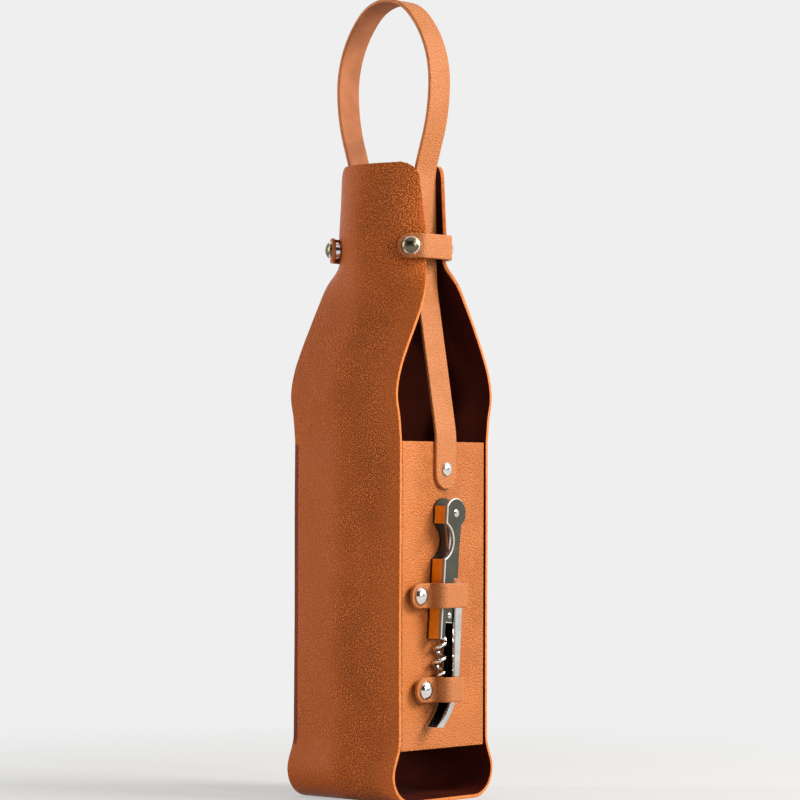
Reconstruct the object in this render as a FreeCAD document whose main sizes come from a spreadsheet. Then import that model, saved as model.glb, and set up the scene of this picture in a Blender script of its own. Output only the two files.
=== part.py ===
import FreeCAD, Part
import math
import os
import Sketcher
from FreeCAD import Vector

# A tall leather carrier with a handle, and a waiter's corkscrew strapped to its right side.
# Front is -Y, the right side is +X, and the origin is the middle of the floor that it stands on.

doc = FreeCAD.newDocument("bottle_carrier")
sizes = doc.addObject("Spreadsheet::Sheet", "sizes")

DRIVING_SIZES = {
    # The long leather strip that makes the front, the floor and the back
    "panel_width": 78.0,
    "seam_depth": 75.0,
    "wrap_thick": 2.3,
    "floor_radius": 14.0,
    "floor_bulge": 4.5,
    "bulge_rise": 14.0,
    "fold_height": 197.0,
    "fold_gap": 0.3,
    "flap_height": 154.0,
    "flap_corner": 8.5,
    # The two side panels, channels with flanges sewn inside the strip
    "side_thick": 2.0,
    "side_inset": 0.6,
    "side_height": 168.0,
    "flange_width": 9.0,
    # The handle, one strap riveted to both side panels
    "handle_width": 17.0,
    "strap_thick": 2.0,
    "handle_tail": 11.0,
    "handle_rivet_drop": 15.0,
    "handle_lean_start": 4.0,
    "handle_lean_rise": 86.0,
    "handle_neck_half": 26.0,
    "handle_waist_half": 24.6,
    "handle_waist_drop": 15.0,
    "handle_fold_half": 29.3,
    "handle_fold_rise": 165.0,
    "handle_fold_gap": 0.5,
    "handle_wide_half": 35.0,
    "handle_wide_rise": 34.0,
    "handle_top_rise": 48.5,
    "handle_top_radius": 26.0,
    "handle_lean_radius": 40.0,
    "handle_neck_radius": 120.0,
    "handle_waist_radius": 32.0,
    # The neck straps, riveted to the back panel and snapped to the front one
    "small_strap_width": 13.6,
    "strap_end_reach": 7.2,
    "neck_strap_seat": 0.5,
    "neck_strap_clear": 1.0,
    "neck_strap_radius": 4.0,
    "neck_tab_hinge": 6.0,
    "tab_gap": 0.3,
    "neck_fastener_azimuth": 40.6,
    # Press snaps
    "snap_stack": 2.8,
    "snap_cap_radius": 4.9,
    "snap_cap_rim": 0.9,
    "snap_cap_dome": 2.4,
    "snap_post_radius": 1.1,
    "snap_stud_radius": 3.8,
    "snap_stud_base": 0.5,
    "snap_knob_radius": 1.9,
    "snap_knob_tip": 1.3,
    "snap_knob_height": 1.5,
    "snap_socket_radius": 4.4,
    "snap_socket_bore": 3.0,
    "snap_socket_web": 0.6,
    "snap_flange_radius": 3.8,
    "snap_flange_thick": 0.6,
    # Double cap rivets
    "rivet_cap_radius": 3.8,
    "rivet_cap_rim": 0.7,
    "rivet_cap_dome": 1.6,
    "rivet_shank_radius": 1.4,
    "rivet_shank_reach": 0.9,
    "rivet_base_thick": 0.8,
    # The corkscrew, with its head rivet as reference point and set back from the panel's front edge
    "screw_setback": 33.5,
    "screw_drop": 39.2,
    "screw_tilt": 4.5,
    "screw_inner_plate": 1.2,
    "screw_core_thick": 7.0,
    "screw_outer_plate": 2.2,
    "screw_bevel": 0.5,
    "screw_head_radius": 8.2,
    "screw_head_flat": 7.4,
    "screw_head_spine": 3.2,
    "screw_neck_half": 5.2,
    "screw_notch_top": 6.0,
    "screw_notch_bottom": 25.5,
    "screw_notch_depth": 6.5,
    "screw_notch_radius": 10.6,
    "screw_spine_half": 7.2,
    "screw_spine_width": 3.4,
    "screw_open_half": 4.4,
    "screw_step_drop": 36.0,
    "screw_step_half": 1.4,
    "screw_window_drop": 60.0,
    "screw_length": 69.0,
    "screw_pin_radius": 1.5,
    "screw_pin_head": 2.1,
    "screw_pin_dome": 0.4,
    "knife_root": 3.6,
    "knife_length": 32.0,
    "knife_width": 6.6,
    "knife_thick": 1.4,
    "lever_top_drop": 39.0,
    "lever_top_radius": 4.6,
    "lever_top_inside": 2.2,
    "lever_top_outside": 9.2,
    "lever_run": 51.0,
    "lever_bend_inside": 5.4,
    "lever_bend_outside": 10.0,
    "lever_curl": 27.0,
    "lever_end_inside": 6.4,
    "lever_end_outside": 1.2,
    "lever_wall": 1.4,
    "lever_pin_drop": 43.5,
    "lever_pin_side": 5.7,
    "worm_side": 1.2,
    "worm_pin_drop": 56.0,
    "worm_pin_radius": 1.0,
    "worm_hub_radius": 2.3,
    "worm_helix_drop": 69.6,
    "worm_radius": 2.8,
    "worm_wire_radius": 1.2,
    "worm_pitch": 8.0,
    "worm_tip": 4.0,
    "worm_point": 0.2,
    # The two straps that hold the corkscrew, set back from the panel's front edge
    "screw_strap_width": 13.6,
    "screw_strap_radius": 2.6,
    "upper_strap_drop": 44.8,
    "upper_snap_setback": 11.0,
    "upper_rise_setback": 20.6,
    "upper_slit_setback": 41.1,
    "lower_strap_drop": 96.0,
    "lower_snap_setback": 15.2,
    "lower_rise_setback": 24.6,
    "lower_slit_setback": 38.1,
    "strap_tuck": 9.0,
    # Fits
    "fit_clear": 0.1,
    "hinge_clear": 0.3,
    "rest_clear": 0.3,
    "overrun": 1.0,
}
for row, (name, length) in enumerate(DRIVING_SIZES.items(), start=1):
    sizes.set(f"A{row}", name)
    sizes.set(f"B{row}", str(length))
    sizes.setAlias(f"B{row}", name)
doc.recompute()

pieces = []


# Ways of making a piece

def keep(piece):
    """Adds a finished sub-part to those that are written."""
    pieces.append(piece)
    return piece


def number(expression):
    """The value of an expression over the sheet's sizes."""
    return float(sizes.evalExpression(expression))


def new_sketch(body, role, name):
    """A sketch on one of the body's own origin planes."""
    plane = next(item for item in body.Origin.OriginFeatures if item.Role == role)
    sketch = body.newObject("Sketcher::SketchObject", name)
    sketch.AttachmentSupport = [(plane, "")]
    sketch.MapMode = "FlatFace"
    return sketch


def draw_outline(sketch, corners):
    """Closes an outline through corners (across, up, radius), each size an expression. The radius
    is that of the arc to the next corner, "-" before it turns clockwise, and None a straight side."""
    points = [Vector(number(across), number(up), 0) for across, up, _ in corners]
    ends = []
    for index, (_, _, radius) in enumerate(corners):
        start, end = points[index], points[(index + 1) % len(points)]
        if radius is None:
            sketch.addGeometry(Part.LineSegment(start, end), False)
            ends.append((1, 2))
            continue
        clockwise = radius.startswith("-")
        first, last = (end, start) if clockwise else (start, end)
        bend = number(radius.lstrip("-"))
        chord = last - first
        lift = math.sqrt(max(bend ** 2 - chord.Length ** 2 / 4, 0))
        centre = first + chord * 0.5 + Vector(-chord.y, chord.x, 0).normalize() * lift
        turn = [math.atan2(point.y - centre.y, point.x - centre.x) for point in (first, last)]
        circle = Part.Circle(centre, Vector(0, 0, 1), bend)
        sketch.addGeometry(Part.ArcOfCircle(circle, turn[0], turn[1]), False)
        ends.append((2, 1) if clockwise else (1, 2))
        bound = sketch.addConstraint(Sketcher.Constraint("Radius", index, bend))
        sketch.setExpression(f"Constraints[{bound}]", radius.lstrip("-"))
    for index, (across, up, _) in enumerate(corners):
        start = ends[index][0]
        sketch.addConstraint(Sketcher.Constraint("Coincident", index - 1 if index else len(corners) - 1,
                                                 ends[index - 1][1], index, start))
        for kind, distance, value in (("DistanceX", across, points[index].x),
                                      ("DistanceY", up, points[index].y)):
            bound = sketch.addConstraint(Sketcher.Constraint(kind, -1, 1, index, start, value))
            sketch.setExpression(f"Constraints[{bound}]", distance)


def draw_hole(sketch, across, up, radius):
    """Adds a round hole to a sketch, with its place and radius bound to expressions."""
    hole = sketch.GeometryCount
    centre = Vector(number(across), number(up), 0)
    sketch.addGeometry(Part.Circle(centre, Vector(0, 0, 1), number(radius)), False)
    bounds = (("Radius", radius, (hole,)), ("DistanceX", across, (-1, 1, hole, 3)),
              ("DistanceY", up, (-1, 1, hole, 3)))
    for kind, expression, ends in bounds:
        bound = sketch.addConstraint(Sketcher.Constraint(kind, *ends, number(expression)))
        sketch.setExpression(f"Constraints[{bound}]", expression)


def padded(label, role, corners, length, holes=(), midplane=False):
    """A body padded from one outline, with its round holes, on an origin plane."""
    body = doc.addObject("PartDesign::Body", label)
    sketch = new_sketch(body, role, label + "_outline")
    draw_outline(sketch, corners)
    for hole in holes:
        draw_hole(sketch, *hole)
    pad = body.newObject("PartDesign::Pad", label + "_pad")
    pad.Profile = sketch
    pad.setExpression("Length", length)
    pad.Midplane = midplane
    doc.recompute()
    return keep(body)


def turned(label, profile):
    """A body turned about its own X axis from a profile of (along, radius) corners."""
    body = doc.addObject("PartDesign::Body", label)
    sketch = new_sketch(body, "XY_Plane", label + "_profile")
    draw_outline(sketch, profile)
    turn = body.newObject("PartDesign::Revolution", label + "_turn")
    turn.Profile = sketch
    turn.ReferenceAxis = (sketch, ["H_Axis"])
    turn.Angle = 360.0
    doc.recompute()
    return keep(body)


def place(piece, across, back, up, yaw="0"):
    """Binds a piece's place, and its turn about the vertical, to expressions."""
    for axis, expression in (("x", across), ("y", back), ("z", up)):
        piece.setExpression(f"Placement.Base.{axis}", expression)
    piece.setExpression("Placement.Rotation.Angle", yaw)


def feature(label, shape):
    """A sub-part whose shape is worked out from the sheet's sizes."""
    piece = doc.addObject("Part::Feature", label)
    piece.Shape = shape
    return keep(piece)


def mirrored(label, source):
    """The same piece on the carrier's other side."""
    piece = doc.addObject("Part::Mirroring", label)
    piece.Source = source
    piece.Normal = Vector(1, 0, 0)
    return keep(piece)


def rounded_path(corners, radii):
    """A wire of straight runs, with each inner corner rounded to its radius."""
    edges = []
    start = corners[0]
    for before, corner, after, radius in zip(corners, corners[1:], corners[2:], radii):
        toward = (before - corner).normalize()
        away = (after - corner).normalize()
        half = toward.getAngle(away) / 2
        entry = corner + toward * (radius / math.tan(half))
        leave = corner + away * (radius / math.tan(half))
        middle = corner + (toward + away).normalize() * (radius / math.sin(half) - radius)
        edges.append(Part.LineSegment(start, entry).toShape())
        edges.append(Part.Arc(entry, middle, leave).toShape())
        start = leave
    edges.append(Part.LineSegment(start, corners[-1]).toShape())
    return Part.Wire(edges)


def swept_strap(path, across, width):
    """A strap along a path on one of its faces, with its other face towards along x across."""
    first = path.OrderedEdges[0]
    along = first.tangentAt(first.FirstParameter)
    start = first.valueAt(first.FirstParameter)
    side = across * (width / 2)
    deep = along.cross(across) * sizes.strap_thick
    corners = [start + side, start - side, start - side + deep, start + side + deep, start + side]
    return path.makePipeShell([Part.makePolygon(corners)], True, False)


END_ROUND_SHARE = 0.49
END_ROUND_REACH_SHARE = 0.75


def rounded_end(shape, end, width):
    """Rounds a strap's two corners at the end nearest to a point."""
    near = [edge for edge in shape.Edges
            if abs(edge.Length - sizes.strap_thick) < sizes.fit_clear
            and (edge.CenterOfMass - end).Length < width * END_ROUND_REACH_SHARE]
    return shape.makeFillet(width * END_ROUND_SHARE, near)


def cut_bore(shape, centre, axis, radius):
    """A round hole right through a piece of leather at one fastener."""
    reach = sizes.snap_stack + sizes.wrap_thick + sizes.overrun
    bore = Part.makeCylinder(radius + sizes.fit_clear, 2 * reach, centre - axis * reach, axis)
    return shape.cut(bore)


# The strip's floor and its upright lower front and back: a channel that bulges above the floor

BULGE = "(sizes.seam_depth / 2 + sizes.floor_bulge)"
SEAM = "(sizes.seam_depth / 2)"
S_BEND = "((sizes.bulge_rise ^ 2 + sizes.floor_bulge ^ 2) / (4 * sizes.floor_bulge))"
S_TOP = "(sizes.floor_radius + sizes.bulge_rise)"
S_MIDDLE = (f"({BULGE} - sizes.floor_bulge / 2)", "(sizes.floor_radius + sizes.bulge_rise / 2)")
S_SIDE = f"(1 - sizes.floor_bulge / (2 * {S_BEND}))"
S_UP = f"(sizes.bulge_rise / (2 * {S_BEND}))"
THICK = "sizes.wrap_thick"

front_outside = [
    (f"-{BULGE} + sizes.floor_radius", "0", "-sizes.floor_radius"),
    (f"-{BULGE}", "sizes.floor_radius", f"-{S_BEND}"),
    (f"-{S_MIDDLE[0]}", S_MIDDLE[1], S_BEND),
    (f"-{SEAM}", S_TOP, None),
    (f"-{SEAM}", "sizes.fold_height", None),
]
front_inside = [
    (f"-{SEAM} + {THICK}", "sizes.fold_height", None),
    (f"-{SEAM} + {THICK}", S_TOP, f"-({S_BEND} + {THICK})"),
    (f"-{S_MIDDLE[0]} + {THICK} * {S_SIDE}", f"{S_MIDDLE[1]} - {THICK} * {S_UP}", f"({S_BEND} - {THICK})"),
    (f"-{BULGE} + {THICK}", "sizes.floor_radius", f"(sizes.floor_radius - {THICK})"),
    (f"-{BULGE} + sizes.floor_radius", THICK, None),
]


def other_side(run):
    """The back's corners for a run of the front's, in the order that continues the outline."""
    bends = [bend for _, _, bend in run[:-1]][::-1] + [None]
    return [(f"-({across})", up, bend) for (across, up, _), bend in zip(run[::-1], bends)]


wrap_base = padded("wrap_base", "YZ_Plane",
                   front_outside + front_inside + other_side(front_inside) + other_side(front_outside),
                   "sizes.panel_width", midplane=True)

# The strip's upper ends: flat at the fold, swelling at the shoulder and bowed round the neck

# Each row: height, half width, depth of the edges and bow, as shares of the flap's height, of half
# the panel's width, of half the seam depth and of the panel's width
FLAP_SECTION_SHARES = (
    (0.0000, 1.000, 1.000, 0.006),
    (0.0800, 1.000, 1.035, 0.006),
    (0.1600, 1.000, 1.093, 0.007),
    (0.2500, 1.000, 1.020, 0.009),
    (0.3300, 1.000, 0.874, 0.013),
    (0.4100, 1.000, 0.700, 0.023),
    (0.4900, 0.992, 0.524, 0.058),
    (0.5700, 0.945, 0.370, 0.121),
    (0.6422, 0.831, 0.227, 0.204),
    (0.6968, 0.831, 0.227, 0.204),
    (0.7513, 0.831, 0.227, 0.204),
    (0.8350, 0.795, 0.248, 0.186),
    (0.9180, 0.760, 0.270, 0.158),
    (1.0000, 0.726, 0.290, 0.132),
)
NECK_ROW = 9


def flap_section(row):
    """Half width, edge depth, arc radius, arc centre and height of the front flap at one section."""
    height_share, width_share, depth_share, bow_share = FLAP_SECTION_SHARES[row]
    half = width_share * sizes.panel_width / 2
    edge = depth_share * sizes.seam_depth / 2
    bow = bow_share * sizes.panel_width
    radius = (half ** 2 + bow ** 2) / (2 * bow)
    base = sizes.fold_height + sizes.fold_gap
    return half, edge, radius, radius - bow - edge, base + height_share * sizes.flap_height


def flap_wire(row):
    """The leather's outline at one section of the front flap."""
    half, _, radius, centre, height = flap_section(row)
    turn = math.asin(half / radius)

    def on_arc(reach, angle):
        return Vector(reach * math.sin(angle), centre - reach * math.cos(angle), height)

    inner = radius - sizes.wrap_thick
    outside = Part.Arc(on_arc(radius, -turn), on_arc(radius, 0), on_arc(radius, turn)).toShape()
    inside = Part.Arc(on_arc(inner, turn), on_arc(inner, 0), on_arc(inner, -turn)).toShape()
    right = Part.LineSegment(on_arc(radius, turn), on_arc(inner, turn)).toShape()
    left = Part.LineSegment(on_arc(inner, -turn), on_arc(radius, -turn)).toShape()
    return Part.Wire([outside, right, inside, left])


neck_half, _, neck_radius, neck_centre, neck_height = flap_section(NECK_ROW)
neck_turn = math.radians(sizes.neck_fastener_azimuth)
neck_fastener = (neck_radius * math.sin(neck_turn), neck_centre - neck_radius * math.cos(neck_turn))


def neck_point(side, back, out=0.0):
    """A point on the axis of a neck fastener, out from the leather's face, and that axis."""
    axis = Vector(side * math.sin(neck_turn), back * math.cos(neck_turn), 0)
    face = Vector(side * neck_fastener[0], -back * neck_fastener[1], neck_height)
    return face + axis * out, axis


def flap_corner_waste(side):
    """What is trimmed off one top corner of the front flap to round it."""
    half_below, _, _, _, height_below = flap_section(-2)
    half_top, _, _, _, top = flap_section(-1)
    corner = sizes.flap_corner
    half = half_top + (half_below - half_top) * corner / (top - height_below)
    front = Vector(0, -sizes.seam_depth, top - corner)
    centre = front + Vector(half - corner, 0, 0)
    block = Part.makeBox(corner + sizes.overrun, sizes.seam_depth, corner + sizes.overrun, centre)
    round_off = Part.makeCylinder(corner, sizes.seam_depth, centre, Vector(0, 1, 0))
    waste = block.cut(round_off)
    return waste if side > 0 else waste.mirror(Vector(), Vector(1, 0, 0))


def flap_shape(bore_radius):
    """The front flap with rounded top corners and a hole for each neck fastener."""
    wires = [flap_wire(row) for row in range(len(FLAP_SECTION_SHARES))]
    below, above = wires[:NECK_ROW], wires[NECK_ROW + 1:]
    neck = Part.makeLoft([below[-1], above[0]], True, True)
    shape = neck.fuse([Part.makeLoft(run, True, False) for run in (below, above)])
    for side in (1, -1):
        shape = shape.cut(flap_corner_waste(side))
        shape = cut_bore(shape, *neck_point(side, -1), bore_radius)
    return shape


front_flap = feature("front_flap", flap_shape(sizes.snap_post_radius))
back_flap = feature("back_flap", flap_shape(sizes.rivet_shank_radius))
back_flap.Placement = FreeCAD.Placement(Vector(), FreeCAD.Rotation(Vector(0, 0, 1), 180))

# The side panels: channels between the front and the back, with their flanges inside

PANEL_FACE = "(sizes.panel_width / 2 - sizes.side_inset)"
PANEL_BOTTOM = "(sizes.fold_height - sizes.side_height)"
FLANGE_FACE = f"({SEAM} - {THICK})"


def set_back(name):
    """A place on a side panel, set back by a named size from the panel's front edge."""
    return f"(sizes.{name}_setback - {FLANGE_FACE})"


side_outline = [
    (f"{PANEL_FACE} - sizes.flange_width", f"-{FLANGE_FACE}", None),
    (PANEL_FACE, f"-{FLANGE_FACE}", None),
    (PANEL_FACE, FLANGE_FACE, None),
    (f"{PANEL_FACE} - sizes.flange_width", FLANGE_FACE, None),
    (f"{PANEL_FACE} - sizes.flange_width", f"{FLANGE_FACE} - sizes.side_thick", None),
    (f"{PANEL_FACE} - sizes.side_thick", f"{FLANGE_FACE} - sizes.side_thick", None),
    (f"{PANEL_FACE} - sizes.side_thick", f"-{FLANGE_FACE} + sizes.side_thick", None),
    (f"{PANEL_FACE} - sizes.flange_width", f"-{FLANGE_FACE} + sizes.side_thick", None),
]
RIVET_HEIGHT = "(sizes.fold_height - sizes.handle_rivet_drop)"
SCREW_HEIGHT = "(sizes.fold_height - sizes.screw_drop)"
panel_face = number(PANEL_FACE)
rivet_height = number(RIVET_HEIGHT)


def pocket_through(body, name, draw):
    """Cuts an outline drawn on the body's YZ plane through its right wall."""
    sketch = new_sketch(body, "YZ_Plane", name + "_outline")
    draw(sketch)
    before = body.Shape.Volume
    pocket = body.newObject("PartDesign::Pocket", name)
    pocket.Profile = sketch
    pocket.setExpression("Length", "sizes.panel_width")
    pocket.Reversed = True
    doc.recompute()
    if body.Shape.Volume >= before:
        raise RuntimeError(name + " cuts nothing")


def hole_outline(back, up, radius):
    """Draws a round hole at a place on the side panel."""
    return lambda sketch: draw_hole(sketch, back, up, f"{radius} + sizes.fit_clear")


def slit_outline(back, up):
    """Draws the slit that a corkscrew strap passes through."""
    low = f"{up} - sizes.screw_strap_width / 2 - sizes.fit_clear"
    high = f"{up} + sizes.screw_strap_width / 2 + sizes.fit_clear"
    front_side = f"{back} - sizes.fit_clear"
    back_side = f"{back} + sizes.strap_thick + sizes.fit_clear"
    return lambda sketch: draw_outline(sketch, [(front_side, low, None), (back_side, low, None),
                                                (back_side, high, None), (front_side, high, None)])


def side_panel(label, yaw):
    """A side panel with the hole for the handle's rivet, turned to its side of the carrier."""
    body = padded(label, "XY_Plane", side_outline, "sizes.side_height")
    place(body, "0", "0", PANEL_BOTTOM, yaw)
    doc.recompute()
    pocket_through(body, label + "_rivet_hole",
                   hole_outline("0", f"{RIVET_HEIGHT} - {PANEL_BOTTOM}", "sizes.rivet_shank_radius"))
    return body


side_panel_right = side_panel("side_panel_right", "0")
side_panel_left = side_panel("side_panel_left", "180")
STRAP_HEIGHTS = {level: f"({SCREW_HEIGHT} - sizes.{level}_strap_drop)" for level in ("upper", "lower")}
for level, strap_height in STRAP_HEIGHTS.items():
    strap_up = f"({strap_height} - {PANEL_BOTTOM})"
    pocket_through(side_panel_right, f"{level}_slit", slit_outline(set_back(f"{level}_slit"), strap_up))
    pocket_through(side_panel_right, f"{level}_snap_hole",
                   hole_outline(set_back(f"{level}_snap"), strap_up, "sizes.snap_post_radius"))

# The handle: a leg up each side inside the flaps, and the loop, which folds over at its foot

ACROSS_HANDLE = Vector(0, 1, 0)
fold = Vector(sizes.handle_fold_half, 0, sizes.fold_height + sizes.handle_fold_rise)
waist = Vector(sizes.handle_waist_half, 0, fold.z - sizes.handle_waist_drop)
rise = (fold - waist).normalize()
foot_reach = sizes.handle_width / 2 / rise.z
leg_face = panel_face + sizes.strap_thick
leg_corners = [
    Vector(leg_face, 0, rivet_height - sizes.handle_tail),
    Vector(leg_face, 0, sizes.fold_height + sizes.handle_lean_start),
    Vector(sizes.handle_neck_half, 0, sizes.fold_height + sizes.handle_lean_rise),
    waist,
    fold - rise * (foot_reach + sizes.handle_fold_gap),
]
leg_radii = (sizes.handle_lean_radius, sizes.handle_neck_radius, sizes.handle_waist_radius)
leg_shape = swept_strap(rounded_path(leg_corners, leg_radii), ACROSS_HANDLE, sizes.handle_width)
leg_shape = rounded_end(leg_shape, leg_corners[0], sizes.handle_width)
rivet_seat = Vector(panel_face, 0, rivet_height)
leg_shape = cut_bore(leg_shape, rivet_seat, Vector(1, 0, 0), sizes.rivet_shank_radius)
handle_leg_right = feature("handle_leg_right", leg_shape)
handle_leg_left = mirrored("handle_leg_left", handle_leg_right)


def handle_oval():
    """The loop's outer face: a straight foot, a slow arc to its widest place, and an oval top."""
    wide = Vector(sizes.handle_wide_half, 0, fold.z + sizes.handle_wide_rise)
    top = Vector(0, 0, wide.z + sizes.handle_top_rise)
    crown = sizes.handle_top_radius
    half, tall = wide.x, top.z - wide.z
    flank = (half ** 2 + (tall - crown) ** 2 - crown ** 2) / (2 * (half - crown))
    flank_centre = wide - Vector(flank, 0, 0)
    crown_centre = top - Vector(0, 0, crown)
    joint = flank_centre + (crown_centre - flank_centre).normalize() * flank
    drop = wide - fold
    lower = (drop.x ** 2 + drop.z ** 2) / (2 * drop.x)
    lower_centre = wide - Vector(lower, 0, 0)

    def between(start, end, centre, radius):
        middle = centre + ((start + end) * 0.5 - centre).normalize() * radius
        return Part.Arc(start, middle, end).toShape()

    def left(point):
        return Vector(-point.x, 0, point.z)

    foot_way = (fold - lower_centre).normalize()
    foot = fold - Vector(-foot_way.z, 0, foot_way.x) * foot_reach
    return Part.Wire([
        Part.LineSegment(foot, fold).toShape(),
        between(fold, wide, lower_centre, lower),
        between(wide, joint, flank_centre, flank),
        Part.Arc(joint, top, left(joint)).toShape(),
        between(left(joint), left(wide), left(flank_centre), flank),
        between(left(wide), left(fold), left(lower_centre), lower),
        Part.LineSegment(left(fold), left(foot)).toShape(),
    ]), (foot, left(foot))


loop_path, loop_feet = handle_oval()
loop_shape = swept_strap(loop_path, ACROSS_HANDLE, sizes.handle_width)
for loop_foot in loop_feet:
    loop_shape = rounded_end(loop_shape, loop_foot, sizes.handle_width)
feature("handle_loop", loop_shape)

# The neck straps: riveted at the back, bent round both panels' edges, with a tab that snaps in front

UP = Vector(0, 0, 1)
strap_side = neck_half + sizes.neck_strap_clear


def neck_corner(back, out):
    """Where a strap's inner face turns from a panel to the side, and its end beyond the fastener."""
    seat, axis = neck_point(1, back, out)
    run = Vector(math.cos(neck_turn), -back * math.sin(neck_turn), 0)
    corner = seat + run * ((strap_side - seat.x) / run.x)
    return corner, seat - run * sizes.strap_end_reach


tab_corner, tab_end = neck_corner(-1, sizes.snap_stack)
back_corner, back_end = neck_corner(1, sizes.neck_strap_seat)
tab_hinge = Vector(strap_side, -sizes.neck_tab_hinge, neck_height)
tab_edge = tab_hinge - Vector(0, sizes.tab_gap, 0)
tab_path = rounded_path([tab_end, tab_corner, tab_edge], [sizes.neck_strap_radius])
tab_shape = swept_strap(tab_path, UP, sizes.small_strap_width)
tab_shape = rounded_end(tab_shape, tab_end, sizes.small_strap_width)
tab_shape = cut_bore(tab_shape, *neck_point(1, -1), sizes.snap_post_radius)
neck_tab_right = feature("neck_tab_right", tab_shape)
neck_tab_left = mirrored("neck_tab_left", neck_tab_right)

strap_path = rounded_path([tab_hinge, back_corner, back_end], [sizes.neck_strap_radius])
neck_strap_shape = swept_strap(strap_path, UP, sizes.small_strap_width)
neck_strap_shape = rounded_end(neck_strap_shape, back_end, sizes.small_strap_width)
neck_strap_shape = cut_bore(neck_strap_shape, *neck_point(1, 1), sizes.rivet_shank_radius)
neck_strap_right = feature("neck_strap_right", neck_strap_shape)
neck_strap_left = mirrored("neck_strap_left", neck_strap_right)

# The corkscrew's straps: out of a slit in the side panel, over the corkscrew and down to a snap

PLATES = "(sizes.screw_inner_plate + sizes.screw_core_thick + sizes.screw_outer_plate)"
arch_face = panel_face + number(PLATES) + sizes.screw_pin_dome + 2 * sizes.rest_clear


def screw_strap(level):
    """A corkscrew strap outside the side panel, and its end tucked inside through the slit."""
    height = number(STRAP_HEIGHTS[level])
    snap, rise_front, slit = (number(set_back(f"{level}_{stop}")) for stop in ("snap", "rise", "slit"))
    low = panel_face + sizes.snap_stack
    corners = [Vector(low, snap - sizes.strap_end_reach, height), Vector(low, rise_front, height),
               Vector(arch_face, rise_front, height), Vector(arch_face, slit, height),
               Vector(panel_face + sizes.hinge_clear, slit, height)]
    shape = swept_strap(rounded_path(corners, [sizes.screw_strap_radius] * 3), UP, sizes.screw_strap_width)
    shape = rounded_end(shape, corners[0], sizes.screw_strap_width)
    shape = cut_bore(shape, Vector(panel_face, snap, height), Vector(1, 0, 0), sizes.snap_post_radius)
    feature(f"corkscrew_strap_{level}", shape)
    inside = panel_face - sizes.side_thick - sizes.strap_thick
    tuck = [Vector(panel_face, slit, height), Vector(inside, slit, height),
            Vector(inside, slit + sizes.strap_tuck, height)]
    tucked = swept_strap(Part.Wire(Part.makePolygon(tuck[:2]).Edges), UP, sizes.screw_strap_width)
    folded = swept_strap(Part.Wire(Part.makePolygon(tuck[1:]).Edges), UP, sizes.screw_strap_width)
    feature(f"corkscrew_strap_end_{level}", tucked.fuse(folded).removeSplitter())


for level in STRAP_HEIGHTS:
    screw_strap(level)

# Press snaps: a stud and its post on the panel, and a socket and its cap on the strap

STUD_TOP = "(sizes.fit_clear + sizes.snap_stud_base + sizes.snap_knob_height)"
STRAP_TOP = "(sizes.snap_stack + sizes.strap_thick)"
SOCKET_FLOOR = "(sizes.snap_stack - sizes.snap_socket_web)"
KNOB_FOOT = "(sizes.fit_clear + sizes.snap_stud_base)"
POST_BORE = "(sizes.snap_post_radius + sizes.fit_clear / 2)"
CAP_CURVE = "((sizes.snap_cap_radius ^ 2 + sizes.snap_cap_dome ^ 2) / (2 * sizes.snap_cap_dome))"
cap_profile = [
    (f"{SOCKET_FLOOR} + sizes.fit_clear", "0", None),
    (f"{STRAP_TOP} + sizes.snap_cap_rim + sizes.snap_cap_dome", "0", CAP_CURVE),
    (f"{STRAP_TOP} + sizes.snap_cap_rim", "sizes.snap_cap_radius", None),
    (STRAP_TOP, "sizes.snap_cap_radius", None),
    (STRAP_TOP, "sizes.snap_post_radius", None),
    (f"{SOCKET_FLOOR} + sizes.fit_clear", "sizes.snap_post_radius", None),
]
socket_profile = [
    (f"{KNOB_FOOT} + sizes.fit_clear", "sizes.snap_socket_bore", None),
    (SOCKET_FLOOR, "sizes.snap_socket_bore", None),
    (SOCKET_FLOOR, POST_BORE, None),
    ("sizes.snap_stack", POST_BORE, None),
    ("sizes.snap_stack", "sizes.snap_socket_radius", None),
    (f"{KNOB_FOOT} + sizes.fit_clear", "sizes.snap_socket_radius", None),
]
stud_profile = [
    ("sizes.fit_clear", POST_BORE, None),
    (STUD_TOP, POST_BORE, None),
    (STUD_TOP, "sizes.snap_knob_tip", None),
    (KNOB_FOOT, "sizes.snap_knob_radius", None),
    (KNOB_FOOT, "sizes.snap_stud_radius", None),
    ("sizes.fit_clear", "sizes.snap_stud_radius", None),
]


def post_profile(wall):
    """A snap's post through a leather wall, with its broad foot inside."""
    seat = f"(-{wall} - sizes.rest_clear)"
    return [
        (f"{seat} - sizes.snap_flange_thick", "0", None),
        (STUD_TOP, "0", None),
        (STUD_TOP, "sizes.snap_post_radius", None),
        (seat, "sizes.snap_post_radius", None),
        (seat, "sizes.snap_flange_radius", None),
        (f"{seat} - sizes.snap_flange_thick", "sizes.snap_flange_radius", None),
    ]


def snap(names, wall, where):
    """The four parts of a snap, each with its name, on one axis."""
    profiles = (cap_profile, socket_profile, stud_profile, post_profile(wall))
    for name, profile in zip(names, profiles):
        place(turned(name, profile), *where)


def fastener_names(kinds, family, spot):
    """The names of one fastener's pieces."""
    return [f"{family}_{kind}_{spot}" for kind in kinds]


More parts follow.
